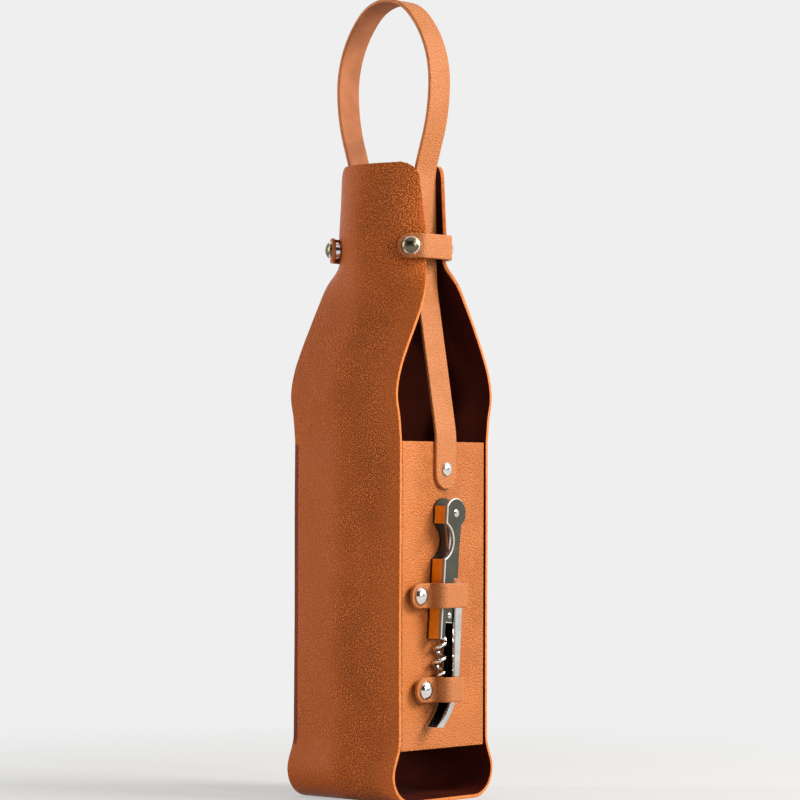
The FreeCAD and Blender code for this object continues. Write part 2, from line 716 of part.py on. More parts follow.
SNAP_KINDS = ("snap_cap", "snap_socket", "snap_stud", "snap_post")
NECK_ROW_SHARES = FLAP_SECTION_SHARES[NECK_ROW]
HALF_TERM = f"({NECK_ROW_SHARES[1]} * sizes.panel_width / 2)"
BOW_TERM = f"({NECK_ROW_SHARES[3]} * sizes.panel_width)"
NECK_BEND = f"(({HALF_TERM} ^ 2 + {BOW_TERM} ^ 2) / (2 * {BOW_TERM}))"
NECK_SIN = "sin(sizes.neck_fastener_azimuth)"
NECK_COS = "cos(sizes.neck_fastener_azimuth)"
NECK_ACROSS = f"({NECK_BEND} * {NECK_SIN})"
NECK_EDGE = f"({NECK_ROW_SHARES[2]} * sizes.seam_depth / 2)"
NECK_FRONT = f"({NECK_EDGE} + {BOW_TERM} - {NECK_BEND} * (1 - {NECK_COS}))"
NECK_HEIGHT = f"(sizes.fold_height + sizes.fold_gap + {NECK_ROW_SHARES[0]} * sizes.flap_height)"
for spot, sign, yaw in (("right", "", "sizes.neck_fastener_azimuth - 90"),
                        ("left", "-", "270 - sizes.neck_fastener_azimuth")):
    snap(fastener_names(SNAP_KINDS, "neck", spot), THICK,
         (sign + NECK_ACROSS, "-" + NECK_FRONT, NECK_HEIGHT, yaw))
for level, strap_height in STRAP_HEIGHTS.items():
    snap(fastener_names(SNAP_KINDS, "corkscrew", level), "sizes.side_thick",
         (PANEL_FACE, set_back(f"{level}_snap"), strap_height))

# Rivets: a domed cap outside and a post with a broad base inside

RIVET_CURVE = "((sizes.rivet_cap_radius ^ 2 + sizes.rivet_cap_dome ^ 2) / (2 * sizes.rivet_cap_dome))"
SHANK_BORE = "(sizes.rivet_shank_radius + sizes.fit_clear / 2)"


def rivet(names, seat, wall, inside_gap, where):
    """A rivet's cap and post through a strap on its seat and a leather wall."""
    face = f"({seat} + sizes.strap_thick)"
    shank_top = f"({face} + sizes.rivet_shank_reach)"
    base = f"(-{wall} - {inside_gap})"
    cap = [
        (f"{shank_top} + sizes.fit_clear", "0", None),
        (f"{face} + sizes.rivet_cap_rim + sizes.rivet_cap_dome", "0", RIVET_CURVE),
        (f"{face} + sizes.rivet_cap_rim", "sizes.rivet_cap_radius", None),
        (face, "sizes.rivet_cap_radius", None),
        (face, SHANK_BORE, None),
        (f"{shank_top} + sizes.fit_clear", SHANK_BORE, None),
    ]
    post = [
        (f"{base} - sizes.rivet_base_thick", "0", None),
        (shank_top, "0", None),
        (shank_top, "sizes.rivet_shank_radius", None),
        (base, "sizes.rivet_shank_radius", None),
        (base, "sizes.rivet_cap_radius", None),
        (f"{base} - sizes.rivet_base_thick", "sizes.rivet_cap_radius", None),
    ]
    for name, profile in zip(names, (cap, post)):
        place(turned(name, profile), *where)


RIVET_KINDS = ("rivet_cap", "rivet_post")
for spot, sign, handle_yaw, neck_yaw in (("right", "", "0", "90 - sizes.neck_fastener_azimuth"),
                                         ("left", "-", "180", "90 + sizes.neck_fastener_azimuth")):
    rivet(fastener_names(RIVET_KINDS, "handle", spot), "0", "sizes.side_thick", "0",
          (sign + PANEL_FACE, "0", RIVET_HEIGHT, handle_yaw))
    rivet(fastener_names(RIVET_KINDS, "neck", spot), "sizes.neck_strap_seat", THICK,
          "sizes.neck_strap_seat", (sign + NECK_ACROSS, NECK_FRONT, NECK_HEIGHT, neck_yaw))

# The corkscrew: two steel plates with coloured spines between them, a knife, a lever and a worm

INNER_FACE = f"({PANEL_FACE} + sizes.rest_clear)"
CORE_FACE = f"({INNER_FACE} + sizes.screw_inner_plate)"
OUTER_FACE = f"({CORE_FACE} + sizes.screw_core_thick)"
SPINE = "sizes.screw_spine_half"
SPINE_INSIDE = f"(-{SPINE} + sizes.screw_spine_width)"
HEAD = "sizes.screw_head_radius"
FLAT = "sizes.screw_head_flat"
HEAD_INSIDE = f"(-{FLAT} + sizes.screw_head_spine)"
HEAD_CORNER = f"sqrt({HEAD} ^ 2 - {FLAT} ^ 2)"
HEAD_NECK = f"sqrt({HEAD} ^ 2 - sizes.screw_neck_half ^ 2)"
NOTCH_FLOOR = f"(-{FLAT} + sizes.screw_notch_depth)"
NOTCH_MIDDLE = "((sizes.screw_notch_top + sizes.screw_notch_bottom) / 2)"
PIN_BORE = "(sizes.screw_pin_radius + sizes.fit_clear / 2)"
WORM_BORE = "(sizes.worm_pin_radius + sizes.fit_clear / 2)"
HEAD_PIN = ("0", "0")
LEVER_PIN = ("sizes.lever_pin_side", "-sizes.lever_pin_drop")
WORM_PIN = ("-sizes.worm_side", "-sizes.worm_pin_drop")


def on_corkscrew(piece, layer, across="0", up="0"):
    """Puts a piece at a layer out from the side panel and a place on the tilted corkscrew."""
    tilt = ("cos(sizes.screw_tilt)", "sin(sizes.screw_tilt)")
    place(piece, layer, f"{set_back('screw')} + ({across}) * {tilt[0]} + ({up}) * {tilt[1]}",
          f"{SCREW_HEIGHT} - ({across}) * {tilt[1]} + ({up}) * {tilt[0]}", "-sizes.screw_tilt")
    piece.setExpression("Placement.Rotation.Axis.x", "1")
    piece.setExpression("Placement.Rotation.Axis.z", "0")


def bevel_outer_face(body):
    """Chamfers every edge of the body's outermost flat face."""
    base = body.Tip
    faces = base.Shape.Faces
    outermost = max(range(len(faces)), key=lambda index: faces[index].CenterOfMass.x)
    chamfer = body.newObject("PartDesign::Chamfer", body.Name + "_bevel")
    chamfer.Base = (base, [f"Face{outermost + 1}"])
    chamfer.setExpression("Size", "sizes.screw_bevel")
    doc.recompute()


head_run = [
    (f"-{FLAT}", "-sizes.screw_notch_top", None),
    (f"-{FLAT}", HEAD_CORNER, f"-{HEAD}"),
    ("0", HEAD, f"-{HEAD}"),
    (HEAD, "0", f"-{HEAD}"),
    ("sizes.screw_neck_half", f"-{HEAD_NECK}", None),
    ("sizes.screw_open_half", f"-{NOTCH_MIDDLE}", None),
]
notch_run = [
    (f"-{SPINE}", "-sizes.screw_length", None),
    (f"-{SPINE}", "-sizes.screw_notch_bottom", "sizes.screw_notch_radius"),
    (NOTCH_FLOOR, f"-{NOTCH_MIDDLE}", "sizes.screw_notch_radius"),
]
inner_outline = head_run + [
    ("sizes.screw_open_half", "-sizes.screw_step_drop", None),
    ("sizes.lever_top_outside", "-sizes.screw_step_drop", None),
    ("sizes.lever_top_outside", "-sizes.screw_window_drop", None),
    ("sizes.screw_open_half", "-sizes.screw_length", None),
] + notch_run
outer_outline = head_run + [
    ("sizes.screw_open_half", "-sizes.screw_step_drop", None),
    ("sizes.screw_step_half", "-sizes.screw_step_drop", None),
    ("sizes.screw_step_half", "-sizes.screw_window_drop", None),
    (SPINE_INSIDE, "-sizes.screw_window_drop", None),
    (SPINE_INSIDE, "-sizes.screw_length", None),
] + notch_run
lever_pin_place = (*LEVER_PIN, PIN_BORE)
head_pin_place = (*HEAD_PIN, PIN_BORE)
worm_pin_place = (*WORM_PIN, WORM_BORE)
inner_plate = padded("corkscrew_inner_plate", "YZ_Plane", inner_outline, "sizes.screw_inner_plate",
                     (head_pin_place, worm_pin_place, lever_pin_place))
on_corkscrew(inner_plate, INNER_FACE)
outer_plate = padded("corkscrew_outer_plate", "YZ_Plane", outer_outline, "sizes.screw_outer_plate",
                     (head_pin_place, worm_pin_place))
bevel_outer_face(outer_plate)
on_corkscrew(outer_plate, OUTER_FACE)

head_spine = padded("corkscrew_head_spine", "YZ_Plane", [
    (f"-{FLAT}", "-sizes.screw_notch_top", None),
    (HEAD_INSIDE, "-sizes.screw_notch_top", None),
    (HEAD_INSIDE, HEAD_CORNER, None),
    (f"-{FLAT}", HEAD_CORNER, None),
], "sizes.screw_core_thick")
on_corkscrew(head_spine, CORE_FACE)
handle_spine = padded("corkscrew_handle_spine", "YZ_Plane", [
    (f"-{SPINE}", "-sizes.screw_length", None),
    (SPINE_INSIDE, "-sizes.screw_length", None),
    (SPINE_INSIDE, "-sizes.screw_notch_bottom", None),
    (f"-{SPINE}", "-sizes.screw_notch_bottom", None),
], "sizes.screw_core_thick")
on_corkscrew(handle_spine, CORE_FACE)

knife = padded("corkscrew_knife", "YZ_Plane", [
    ("-sizes.knife_root", "0", "-sizes.knife_root"),
    ("0", "sizes.knife_root", "-sizes.knife_root"),
    ("sizes.knife_root", "0", None),
    ("sizes.knife_width", "-sizes.knife_length / 3", "-sizes.knife_length"),
    ("sizes.screw_open_half", "-sizes.knife_length", None),
    ("0", "-sizes.knife_length / 2", None),
], "sizes.knife_thick", (head_pin_place,))
on_corkscrew(knife, f"{CORE_FACE} + (sizes.screw_core_thick - sizes.knife_thick) / 2")

LEVER_DEPTH = "(sizes.screw_core_thick + sizes.screw_outer_plate - sizes.fit_clear)"
LEVER_BEND = "(sizes.lever_top_drop + sizes.lever_run)"
LEVER_END = f"({LEVER_BEND} + sizes.lever_curl)"
OUTSIDE_SHIFT = "(sizes.lever_bend_outside + sizes.lever_end_outside)"
OUTSIDE_BEND = f"({OUTSIDE_SHIFT} ^ 2 + sizes.lever_curl ^ 2) / (2 * {OUTSIDE_SHIFT})"
INSIDE_SHIFT = "(sizes.lever_bend_inside + sizes.lever_end_inside)"
INSIDE_BEND = f"({INSIDE_SHIFT} ^ 2 + sizes.lever_curl ^ 2) / (2 * {INSIDE_SHIFT})"
lever = padded("corkscrew_lever", "YZ_Plane", [
    ("sizes.lever_top_inside", "-sizes.lever_top_drop", "-sizes.lever_top_radius"),
    ("sizes.lever_top_outside", "-sizes.lever_top_drop", None),
    ("sizes.lever_bend_outside", f"-{LEVER_BEND}", "-" + OUTSIDE_BEND),
    ("-sizes.lever_end_outside", f"-{LEVER_END}", None),
    ("-sizes.lever_end_inside", f"-{LEVER_END}", INSIDE_BEND),
    ("sizes.lever_bend_inside", f"-{LEVER_BEND}", None),
], LEVER_DEPTH, (lever_pin_place,))
bevel_outer_face(lever)
hollow = new_sketch(lever, "YZ_Plane", "corkscrew_lever_hollow")
hollow.setExpression("AttachmentOffset.Base.z", "sizes.lever_wall")
draw_outline(hollow, [
    ("sizes.lever_top_inside - sizes.overrun", "-sizes.lever_top_drop + sizes.lever_top_radius", None),
    ("sizes.lever_top_outside - sizes.lever_wall", "-sizes.lever_top_drop + sizes.lever_top_radius", None),
    ("sizes.lever_top_outside - sizes.lever_wall", "-sizes.lever_top_drop", None),
    ("sizes.lever_bend_outside - sizes.lever_wall", f"-{LEVER_BEND}", "-" + OUTSIDE_BEND),
    ("-sizes.lever_end_outside - sizes.lever_wall", f"-{LEVER_END}", None),
    ("-sizes.lever_end_outside - sizes.lever_wall", f"-{LEVER_END} - sizes.overrun", None),
    ("-sizes.lever_end_inside - sizes.lever_bend_inside", f"-{LEVER_END} - sizes.overrun", None),
    ("-sizes.lever_end_inside - sizes.lever_bend_inside", f"-{LEVER_BEND}", None),
    ("sizes.lever_top_inside - sizes.overrun", f"-{LEVER_BEND}", None),
])
solid_lever = lever.Shape.Volume
channel = lever.newObject("PartDesign::Pocket", "corkscrew_lever_channel")
channel.Profile = hollow
channel.setExpression("Length", f"{LEVER_DEPTH} - 2 * sizes.lever_wall")
channel.Reversed = True
doc.recompute()
if lever.Shape.Volume >= solid_lever:
    raise RuntimeError("the lever's channel cuts nothing")
on_corkscrew(lever, f"{CORE_FACE} + sizes.fit_clear")


def pin(label, where, radius, head, length):
    """A corkscrew pin from the inner plate's face outwards, with a low domed head."""
    profile = [
        ("0", "0", None),
        (f"{length} + sizes.screw_pin_dome", "0",
         f"({head} ^ 2 + sizes.screw_pin_dome ^ 2) / (2 * sizes.screw_pin_dome)"),
        (length, head, None),
        (length, radius, None),
        ("0", radius, None),
    ]
    on_corkscrew(turned(label, profile), INNER_FACE, *where)


pin("corkscrew_head_pin", HEAD_PIN, "sizes.screw_pin_radius", "sizes.screw_pin_head", PLATES)
pin("corkscrew_lever_pin", LEVER_PIN, "sizes.screw_pin_radius", "sizes.screw_pin_head", PLATES)
pin("corkscrew_worm_pin", WORM_PIN, "sizes.worm_pin_radius", "sizes.screw_pin_radius", PLATES)


WORM_TURNS = 2.25
WORM_STEPS_A_TURN = 8
SHANK_SHARES = (0.11, 0.3, 0.55)


def worm_shape():
    """A wire that leaves a flat hub on its pin, eases out into a helix and ends in a point."""
    middle = sizes.screw_core_thick / 2
    top = sizes.worm_pin_drop - sizes.worm_helix_drop
    path_points = [Vector(middle, 0, top * share) for share in SHANK_SHARES]
    for step in range(1, int(WORM_TURNS * WORM_STEPS_A_TURN) + 1):
        turns = step / WORM_STEPS_A_TURN
        angle = turns * 2 * math.pi
        spoke = Vector(math.sin(angle), math.cos(angle), 0) * sizes.worm_radius
        path_points.append(Vector(middle, 0, top - turns * sizes.worm_pitch) + spoke)
    curve = Part.BSplineCurve()
    curve.interpolate(path_points)
    path = Part.Wire(curve.toShape())
    run = path.Edges[0]
    ring = Part.makeCircle(sizes.worm_wire_radius, path_points[0], run.tangentAt(run.FirstParameter))
    wire = path.makePipeShell([Part.Wire(ring)], True, True)
    tip = Part.makeCone(sizes.worm_wire_radius, sizes.worm_point, sizes.worm_tip, path_points[-1],
                        run.tangentAt(run.LastParameter))
    out = Vector(1, 0, 0)
    hub_depth = sizes.screw_core_thick - 2 * sizes.fit_clear
    hub = Part.makeCylinder(sizes.worm_hub_radius, hub_depth, out * sizes.fit_clear, out)
    bore_radius = sizes.worm_pin_radius + sizes.fit_clear / 2
    bore = Part.makeCylinder(bore_radius, sizes.screw_core_thick, Vector(), out)
    return hub.multiFuse([wire, tip]).cut(bore).removeSplitter()


worm = feature("corkscrew_worm", worm_shape())
on_corkscrew(worm, CORE_FACE, *WORM_PIN)

doc.recompute()


def report_failures():
    """Stops before anything is written if an object failed or a shape is missing or broken."""
    for item in doc.Objects:
        if "Invalid" in item.State or "Error" in item.State:
            raise RuntimeError(f"{item.Label} failed: {item.State}")
    for piece in pieces:
        if piece.Shape.isNull() or not piece.Shape.isValid() or not piece.Shape.Solids:
            raise RuntimeError(f"{piece.Label} has no valid solid")


report_failures()
os.makedirs("parts", exist_ok=True)
for piece in pieces:
    piece.Shape.exportStep(f"parts/{piece.Label}.step")
print(len(pieces), "pieces written")
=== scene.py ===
import math

import bpy
import numpy as np
from mathutils import Euler, Matrix, Vector, noise


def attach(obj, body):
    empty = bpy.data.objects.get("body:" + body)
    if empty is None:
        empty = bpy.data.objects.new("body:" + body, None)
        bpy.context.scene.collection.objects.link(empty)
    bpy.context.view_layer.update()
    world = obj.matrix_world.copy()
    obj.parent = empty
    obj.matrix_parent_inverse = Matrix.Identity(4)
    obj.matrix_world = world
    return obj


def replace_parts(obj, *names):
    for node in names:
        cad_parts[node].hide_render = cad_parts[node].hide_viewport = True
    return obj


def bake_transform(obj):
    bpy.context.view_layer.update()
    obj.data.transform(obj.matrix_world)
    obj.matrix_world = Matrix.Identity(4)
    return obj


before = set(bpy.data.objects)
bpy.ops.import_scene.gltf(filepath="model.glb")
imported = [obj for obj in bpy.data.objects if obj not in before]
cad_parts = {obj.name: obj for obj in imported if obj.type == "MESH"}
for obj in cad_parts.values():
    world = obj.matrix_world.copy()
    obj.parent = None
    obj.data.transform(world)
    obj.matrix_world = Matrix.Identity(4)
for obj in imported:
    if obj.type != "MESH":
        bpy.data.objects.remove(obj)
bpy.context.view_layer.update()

# The long strip: one length of pebbled cowhide, 2.3 mm thick, that runs from the top of the front down,
# along the floor and up the back. Its cut edges are painted a lighter orange. It is modelled as a front
# and a back half that meet in the middle of the floor, because only the front flap swings.
MM = 0.001
PANEL_WIDTH = 78 * MM
SEAM_DEPTH = 75 * MM
STRIP_THICK = 2.3 * MM
FLOOR_RADIUS = 16 * MM
FLOOR_BULGE = 5.0 * MM
BULGE_RISE = 18 * MM
WALL_FOOT = FLOOR_RADIUS + BULGE_RISE
FOLD_HEIGHT = 197 * MM
FLAP_HEIGHT = 154.3 * MM
FLAP_CORNER = 8.5 * MM
EDGE_ROUND = 0.4 * MM
PANEL_CROWN = 1.8 * MM
CROWN_FADE = 30 * MM
FLAP_SHAPE = np.array((
    (0.000, 1.000, 1.000, 0.006),
    (0.080, 1.000, 1.035, 0.006),
    (0.160, 1.000, 1.093, 0.007),
    (0.250, 1.000, 1.020, 0.009),
    (0.330, 1.000, 0.874, 0.013),
    (0.410, 1.000, 0.700, 0.023),
    (0.490, 0.992, 0.524, 0.058),
    (0.570, 0.945, 0.370, 0.121),
    (0.642, 0.831, 0.227, 0.204),
    (0.697, 0.831, 0.227, 0.204),
    (0.751, 0.831, 0.227, 0.204),
    (0.835, 0.795, 0.248, 0.186),
    (0.918, 0.760, 0.270, 0.158),
    (1.000, 0.726, 0.290, 0.132),
))


def flap_row(share):
    """Half width, edge depth and bow of the flap at a share of its height, on a smooth curve."""
    heights = FLAP_SHAPE[:, 0]
    slopes = np.gradient(FLAP_SHAPE[:, 1:], heights, axis=0)
    i = int(np.clip(np.searchsorted(heights, share) - 1, 0, len(heights) - 2))
    span = heights[i + 1] - heights[i]
    t = (share - heights[i]) / span
    a, b = FLAP_SHAPE[i, 1:], FLAP_SHAPE[i + 1, 1:]
    width, depth, bow = ((2 * t ** 3 - 3 * t ** 2 + 1) * a + (t ** 3 - 2 * t ** 2 + t) * span * slopes[i]
                         + (3 * t ** 2 - 2 * t ** 3) * b + (t ** 3 - t ** 2) * span * slopes[i + 1])
    return width * PANEL_WIDTH / 2, depth * SEAM_DEPTH / 2, bow * PANEL_WIDTH


def wall_crown(height):
    """How far the middle of the strip's wall stands out before its edges, at a height."""
    return PANEL_CROWN * np.clip((height - WALL_FOOT) / CROWN_FADE, 0, 1)


def strip_rows():
    """The strip's outer face from the middle of the floor to the top: per row, its height, half width, depth
    of the edges and bow, and how much the rounded top corners take off the half width."""
    bulge = SEAM_DEPTH / 2 + FLOOR_BULGE
    rows = [(0.0, depth) for depth in np.linspace(0, bulge - FLOOR_RADIUS, 8)]
    for angle in np.linspace(0, math.pi / 2, 13)[1:]:
        rows.append((FLOOR_RADIUS * (1 - math.cos(angle)),
                     bulge - FLOOR_RADIUS + FLOOR_RADIUS * math.sin(angle)))
    for t in np.linspace(0, 1, 9)[1:]:
        rows.append((FLOOR_RADIUS + BULGE_RISE * t, bulge - FLOOR_BULGE * (3 * t ** 2 - 2 * t ** 3)))
    rows += [(height, SEAM_DEPTH / 2) for height in np.linspace(WALL_FOOT, FOLD_HEIGHT, 40)[1:-1]]
    shaped = [(height, PANEL_WIDTH / 2, depth, wall_crown(height), 0.0) for height, depth in rows]
    corner_start = 1 - FLAP_CORNER / FLAP_HEIGHT
    shares = list(np.linspace(0, corner_start, 64))
    shares += [1 - FLAP_CORNER / FLAP_HEIGHT * (1 - math.sin(turn))
               for turn in np.radians((8, 16, 24, 32, 40, 48, 56, 63, 69, 75, 90))]
    for share in shares:
        half, depth, bow = flap_row(share)
        rise = max(0.0, share - corner_start) * FLAP_HEIGHT
        taken = FLAP_CORNER - math.sqrt(max(FLAP_CORNER ** 2 - rise ** 2, 0))
        shaped.append((FOLD_HEIGHT + share * FLAP_HEIGHT, half, depth, max(bow, PANEL_CROWN), taken))
    return shaped


def leather_piece(name, points, flat, thick, materials, slits=()):
    """A sheet of leather with its outer face on a grid of points, its flat cut as UV in metres, rounded
    edges, a grain face, a flesh face and painted edges. A slit is a range of rows and one of columns."""
    points = np.asarray(points, float)
    flat = np.asarray(flat, float)
    count, across = points.shape[:2]
    normals = np.cross(np.gradient(points, axis=1), np.gradient(points, axis=0))
    normals /= np.maximum(np.linalg.norm(normals, axis=2, keepdims=True), 1e-12)
    rim = np.ones((count, across), bool)
    rim[1:-1, 1:-1] = False
    drop = np.where(rim, EDGE_ROUND, 0.0)[..., None]
    vertices = np.concatenate(((points - normals * drop).reshape(-1, 3),
                               (points - normals * (thick - drop)).reshape(-1, 3)))
    uv = np.concatenate((flat.reshape(-1, 2), flat.reshape(-1, 2)))
    index = np.arange(count * across).reshape(count, across)
    below = index + count * across
    kept = np.zeros((count + 1, across + 1), bool)
    kept[1:-1, 1:-1] = True
    for row_range, column_range in slits:
        kept[row_range[0] + 1:row_range[1] + 1, column_range[0] + 1:column_range[1] + 1] = False
    faces, finish = [], []
    for i, j in np.argwhere(kept[1:-1, 1:-1]):
        ring = [(i, j), (i, j + 1), (i + 1, j + 1), (i + 1, j)]
        faces.append([index[spot] for spot in ring])
        faces.append([below[spot] for spot in reversed(ring)])
        finish += [0, 1]
        for a, b, step in zip(ring, ring[1:] + ring[:1], ((0, 1), (1, 2), (2, 1), (1, 0))):
            if not kept[i + step[0], j + step[1]]:
                faces.append([index[b], index[a], below[a], below[b]])
                finish.append(2)
    mesh = bpy.data.meshes.new(name)
    mesh.from_pydata(vertices.tolist(), [], [[int(k) for k in face] for face in faces])
    layer = mesh.uv_layers.new(name="flat_cut")
    for polygon in mesh.polygons:
        polygon.material_index = finish[polygon.index]
        polygon.use_smooth = True
        for corner in polygon.loop_indices:
            layer.data[corner].uv = uv[mesh.loops[corner].vertex_index]
    for material in materials:
        mesh.materials.append(material)
    piece = bpy.data.objects.new(name, mesh)
    bpy.context.scene.collection.objects.link(piece)
    piece.modifiers.new("even_shading", "WEIGHTED_NORMAL").keep_sharp = True
    return piece


def linear(red, green, blue):
    """A colour given as it shows on a screen, from 0 to 255, as the light values that shaders take."""
    shown = [channel / 255 for channel in (red, green, blue)]
    return tuple(c / 12.92 if c <= 0.04045 else ((c + 0.055) / 1.055) ** 2.4 for c in shown) + (1.0,)


class Finish:
    """A new material with its shader, and short ways to add and link nodes."""

    def __init__(self, name, colour, roughness, metallic=0.0):
        self.material = bpy.data.materials.new(name)
        self.material.use_nodes = True
        self.tree = self.material.node_tree
        self.shader = self.tree.nodes["Principled BSDF"]
        self.shader.inputs["Base Color"].default_value = colour
        self.shader.inputs["Roughness"].default_value = roughness
        self.shader.inputs["Metallic"].default_value = metallic

    def node(self, kind, inputs=(), **settings):
        made = self.tree.nodes.new(kind)
        for key, value in settings.items():
            setattr(made, key, value)
        for key, value in dict(inputs).items():
            if isinstance(value, bpy.types.NodeSocket):
                self.tree.links.new(value, made.inputs[key])
            else:
                made.inputs[key].default_value = value
        return made

    def to_shader(self, socket, key):
        self.tree.links.new(socket, self.shader.inputs[key])

    def math(self, operation, a, b=0.0):
        return self.node("ShaderNodeMath", {0: a, 1: b}, operation=operation).outputs[0]

    def ramp(self, value, low, high, to_low=0.0, to_high=1.0, smooth=True):
        made = self.node("ShaderNodeMapRange", {0: value, 1: low, 2: high, 3: to_low, 4: to_high})
        made.interpolation_type = "SMOOTHSTEP" if smooth else "LINEAR"
        return made.outputs[0]

    def mix(self, share, a, b, blend="MIX"):
        made = self.node("ShaderNodeMix", data_type="RGBA", blend_type=blend)
        for key, value in ((0, share), (6, a), (7, b)):
            if isinstance(value, bpy.types.NodeSocket):
                self.tree.links.new(value, made.inputs[key])
            else:
                made.inputs[key].default_value = value
        return made.outputs[2]


def grain_leather(name, colour, pebble=1.4 * MM, depth=0.45 * MM, shine=0.36, painted_grain_light=0.45, drawn=(),
                  painted_seam_shade=False):
    """Pebbled cowhide: rounded grains of mixed size between fine creases, in the sheet's own flat cut. The
    grain light sets how much painted shade darkens the creases and how much painted highlight lightens the
    grain tops. Drawn gives, for each side where the hide was drawn tight, where across it the grain is flat,
    where it is full, and how rough it is. With the seam shade set, a band of painted shade darkens the left
    edge, where the strip's edge turns away at the seam."""
    leather = Finish(name, colour, 0.42)
    flat = leather.node("ShaderNodeUVMap", uv_map="flat_cut").outputs[0]
    sway = leather.node("ShaderNodeTexNoise", {"Vector": flat, "Scale": 330.0, "Detail": 2.0})
    offset = leather.node("ShaderNodeVectorMath", {0: sway.outputs["Color"], 1: (0.5, 0.5, 0.5)},
                          operation="SUBTRACT").outputs[0]
    offset = leather.node("ShaderNodeVectorMath", {0: offset, 3: 0.5 * MM}, operation="SCALE").outputs[0]
    bent = leather.node("ShaderNodeVectorMath", {0: flat, 1: offset}, operation="ADD").outputs[0]
    coarse = leather.node("ShaderNodeTexVoronoi", {"Vector": bent, "Scale": 1 / pebble, "Randomness": 0.85},
                          voronoi_dimensions="2D").outputs["Distance"]
    fine = leather.node("ShaderNodeTexVoronoi", {"Vector": bent, "Scale": 1.3 / pebble, "Randomness": 0.85},
                        voronoi_dimensions="2D").outputs["Distance"]
    patches = leather.node("ShaderNodeTexNoise", {"Vector": flat, "Scale": 60.0, "Detail": 2.0}).outputs[0]
    large = leather.ramp(coarse, 0.08, 0.66, 1.0, 0.0)
    small = leather.ramp(fine, 0.08, 0.66, 1.0, 0.0)
    grains = leather.node("ShaderNodeMix", {0: leather.ramp(patches, 0.45, 0.55, 0.1, 0.9), 2: large,
                                            3: small}).outputs[0]
    pores = leather.node("ShaderNodeTexNoise", {"Vector": flat, "Scale": 3200.0, "Detail": 2.0}).outputs[0]
    height = leather.math("ADD", grains, leather.math("MULTIPLY", pores, 0.10))
    firm = leather.node("ShaderNodeTexNoise", {"Vector": flat, "Scale": 13.0, "Detail": 2.0}).outputs[0]
    firm = leather.ramp(firm, 0.36, 0.62, 0.65, 1.0)
    rough = leather.ramp(grains, 0.0, 1.0, 0.62, 0.42)
    across = leather.node("ShaderNodeSeparateXYZ", {0: flat}).outputs[0]
    for flat_at, full_at, smooth in drawn:
        slack = leather.ramp(across, flat_at, full_at)
        firm = leather.math("MULTIPLY", firm, leather.ramp(slack, 0.0, 1.0, 0.45, 1.0, smooth=False))
        rough = leather.node("ShaderNodeMix", {0: slack, 2: smooth, 3: rough}).outputs[0]
    bump = leather.node("ShaderNodeBump", {"Strength": firm, "Distance": depth, "Height": height})
    leather.to_shader(bump.outputs[0], "Normal")
    # Painted shade darkens the creases, and a paler, pinker painted highlight lightens the grain tops.
    crease_shade = tuple(c * k ** painted_grain_light for c, k in zip(colour[:3], (0.76, 0.72, 0.68))) + (1.0,)
    crown = tuple(min(1.0, c * k ** painted_grain_light) for c, k in zip(colour[:3], (1.50, 1.85, 2.40))) + (1.0,)
    shown = leather.mix(leather.ramp(grains, 0.0, 0.5), crease_shade, colour)
    shown = leather.mix(leather.ramp(grains, 0.6, 0.95), shown, crown)
    shown = leather.mix(firm, colour, shown)
    tone = leather.node("ShaderNodeTexNoise", {"Vector": flat, "Scale": 15.0, "Detail": 4.0}).outputs[0]
    deep = leather.mix(1.0, shown, (0.88, 0.85, 0.82, 1.0), "MULTIPLY")
    shown = leather.mix(leather.ramp(tone, 0.40, 0.70, 0.0, 0.7), shown, deep)
    # Painted shade: a dark band along the front's left edge, between the side panel's foot and the fold,
    # where the strip's rounded edge turns away from the light at the seam.
    if painted_seam_shade:
        place = leather.node("ShaderNodeTexCoord").outputs["Object"]
        rise = leather.node("ShaderNodeSeparateXYZ", {0: place}).outputs[2]
        seam_shade_band = leather.math("MULTIPLY", leather.ramp(across, -36.1 * MM, -35.4 * MM, 1.0, 0.0),
                            leather.ramp(rise, FOLD_HEIGHT - 3 * MM, FOLD_HEIGHT, 1.0, 0.0))
        seam_shade_band = leather.math("MULTIPLY", seam_shade_band, leather.ramp(rise, 28 * MM, 31 * MM))
        dark = leather.mix(1.0, shown, (0.42, 0.24, 0.20, 1.0), "MULTIPLY")
        shown = leather.mix(seam_shade_band, shown, dark)
    leather.to_shader(shown, "Base Color")
    leather.to_shader(rough, "Roughness")
    leather.shader.inputs["Specular IOR Level"].default_value = shine
    return leather.material


def flesh_leather(name, colour):
    """The strip's inner face: short brushed fibres, dull and darker than the grain."""
    leather = Finish(name, colour, 0.85)
    leather.shader.inputs["Specular IOR Level"].default_value = 0.08
    flat = leather.node("ShaderNodeUVMap", uv_map="flat_cut").outputs[0]
    fibre = leather.node("ShaderNodeTexNoise", {"Vector": flat, "Scale": 1500.0, "Detail": 4.0}).outputs[0]
    cloud = leather.node("ShaderNodeTexNoise", {"Vector": flat, "Scale": 60.0, "Detail": 3.0}).outputs[0]
    bump = leather.node("ShaderNodeBump", {"Strength": 0.5, "Distance": 0.12 * MM, "Height": fibre})
    leather.to_shader(bump.outputs[0], "Normal")
    pale = tuple(min(1.0, c * 1.35) for c in colour[:3]) + (1.0,)
    leather.to_shader(leather.mix(leather.ramp(cloud, 0.3, 0.7), colour, pale), "Base Color")
    return leather.material


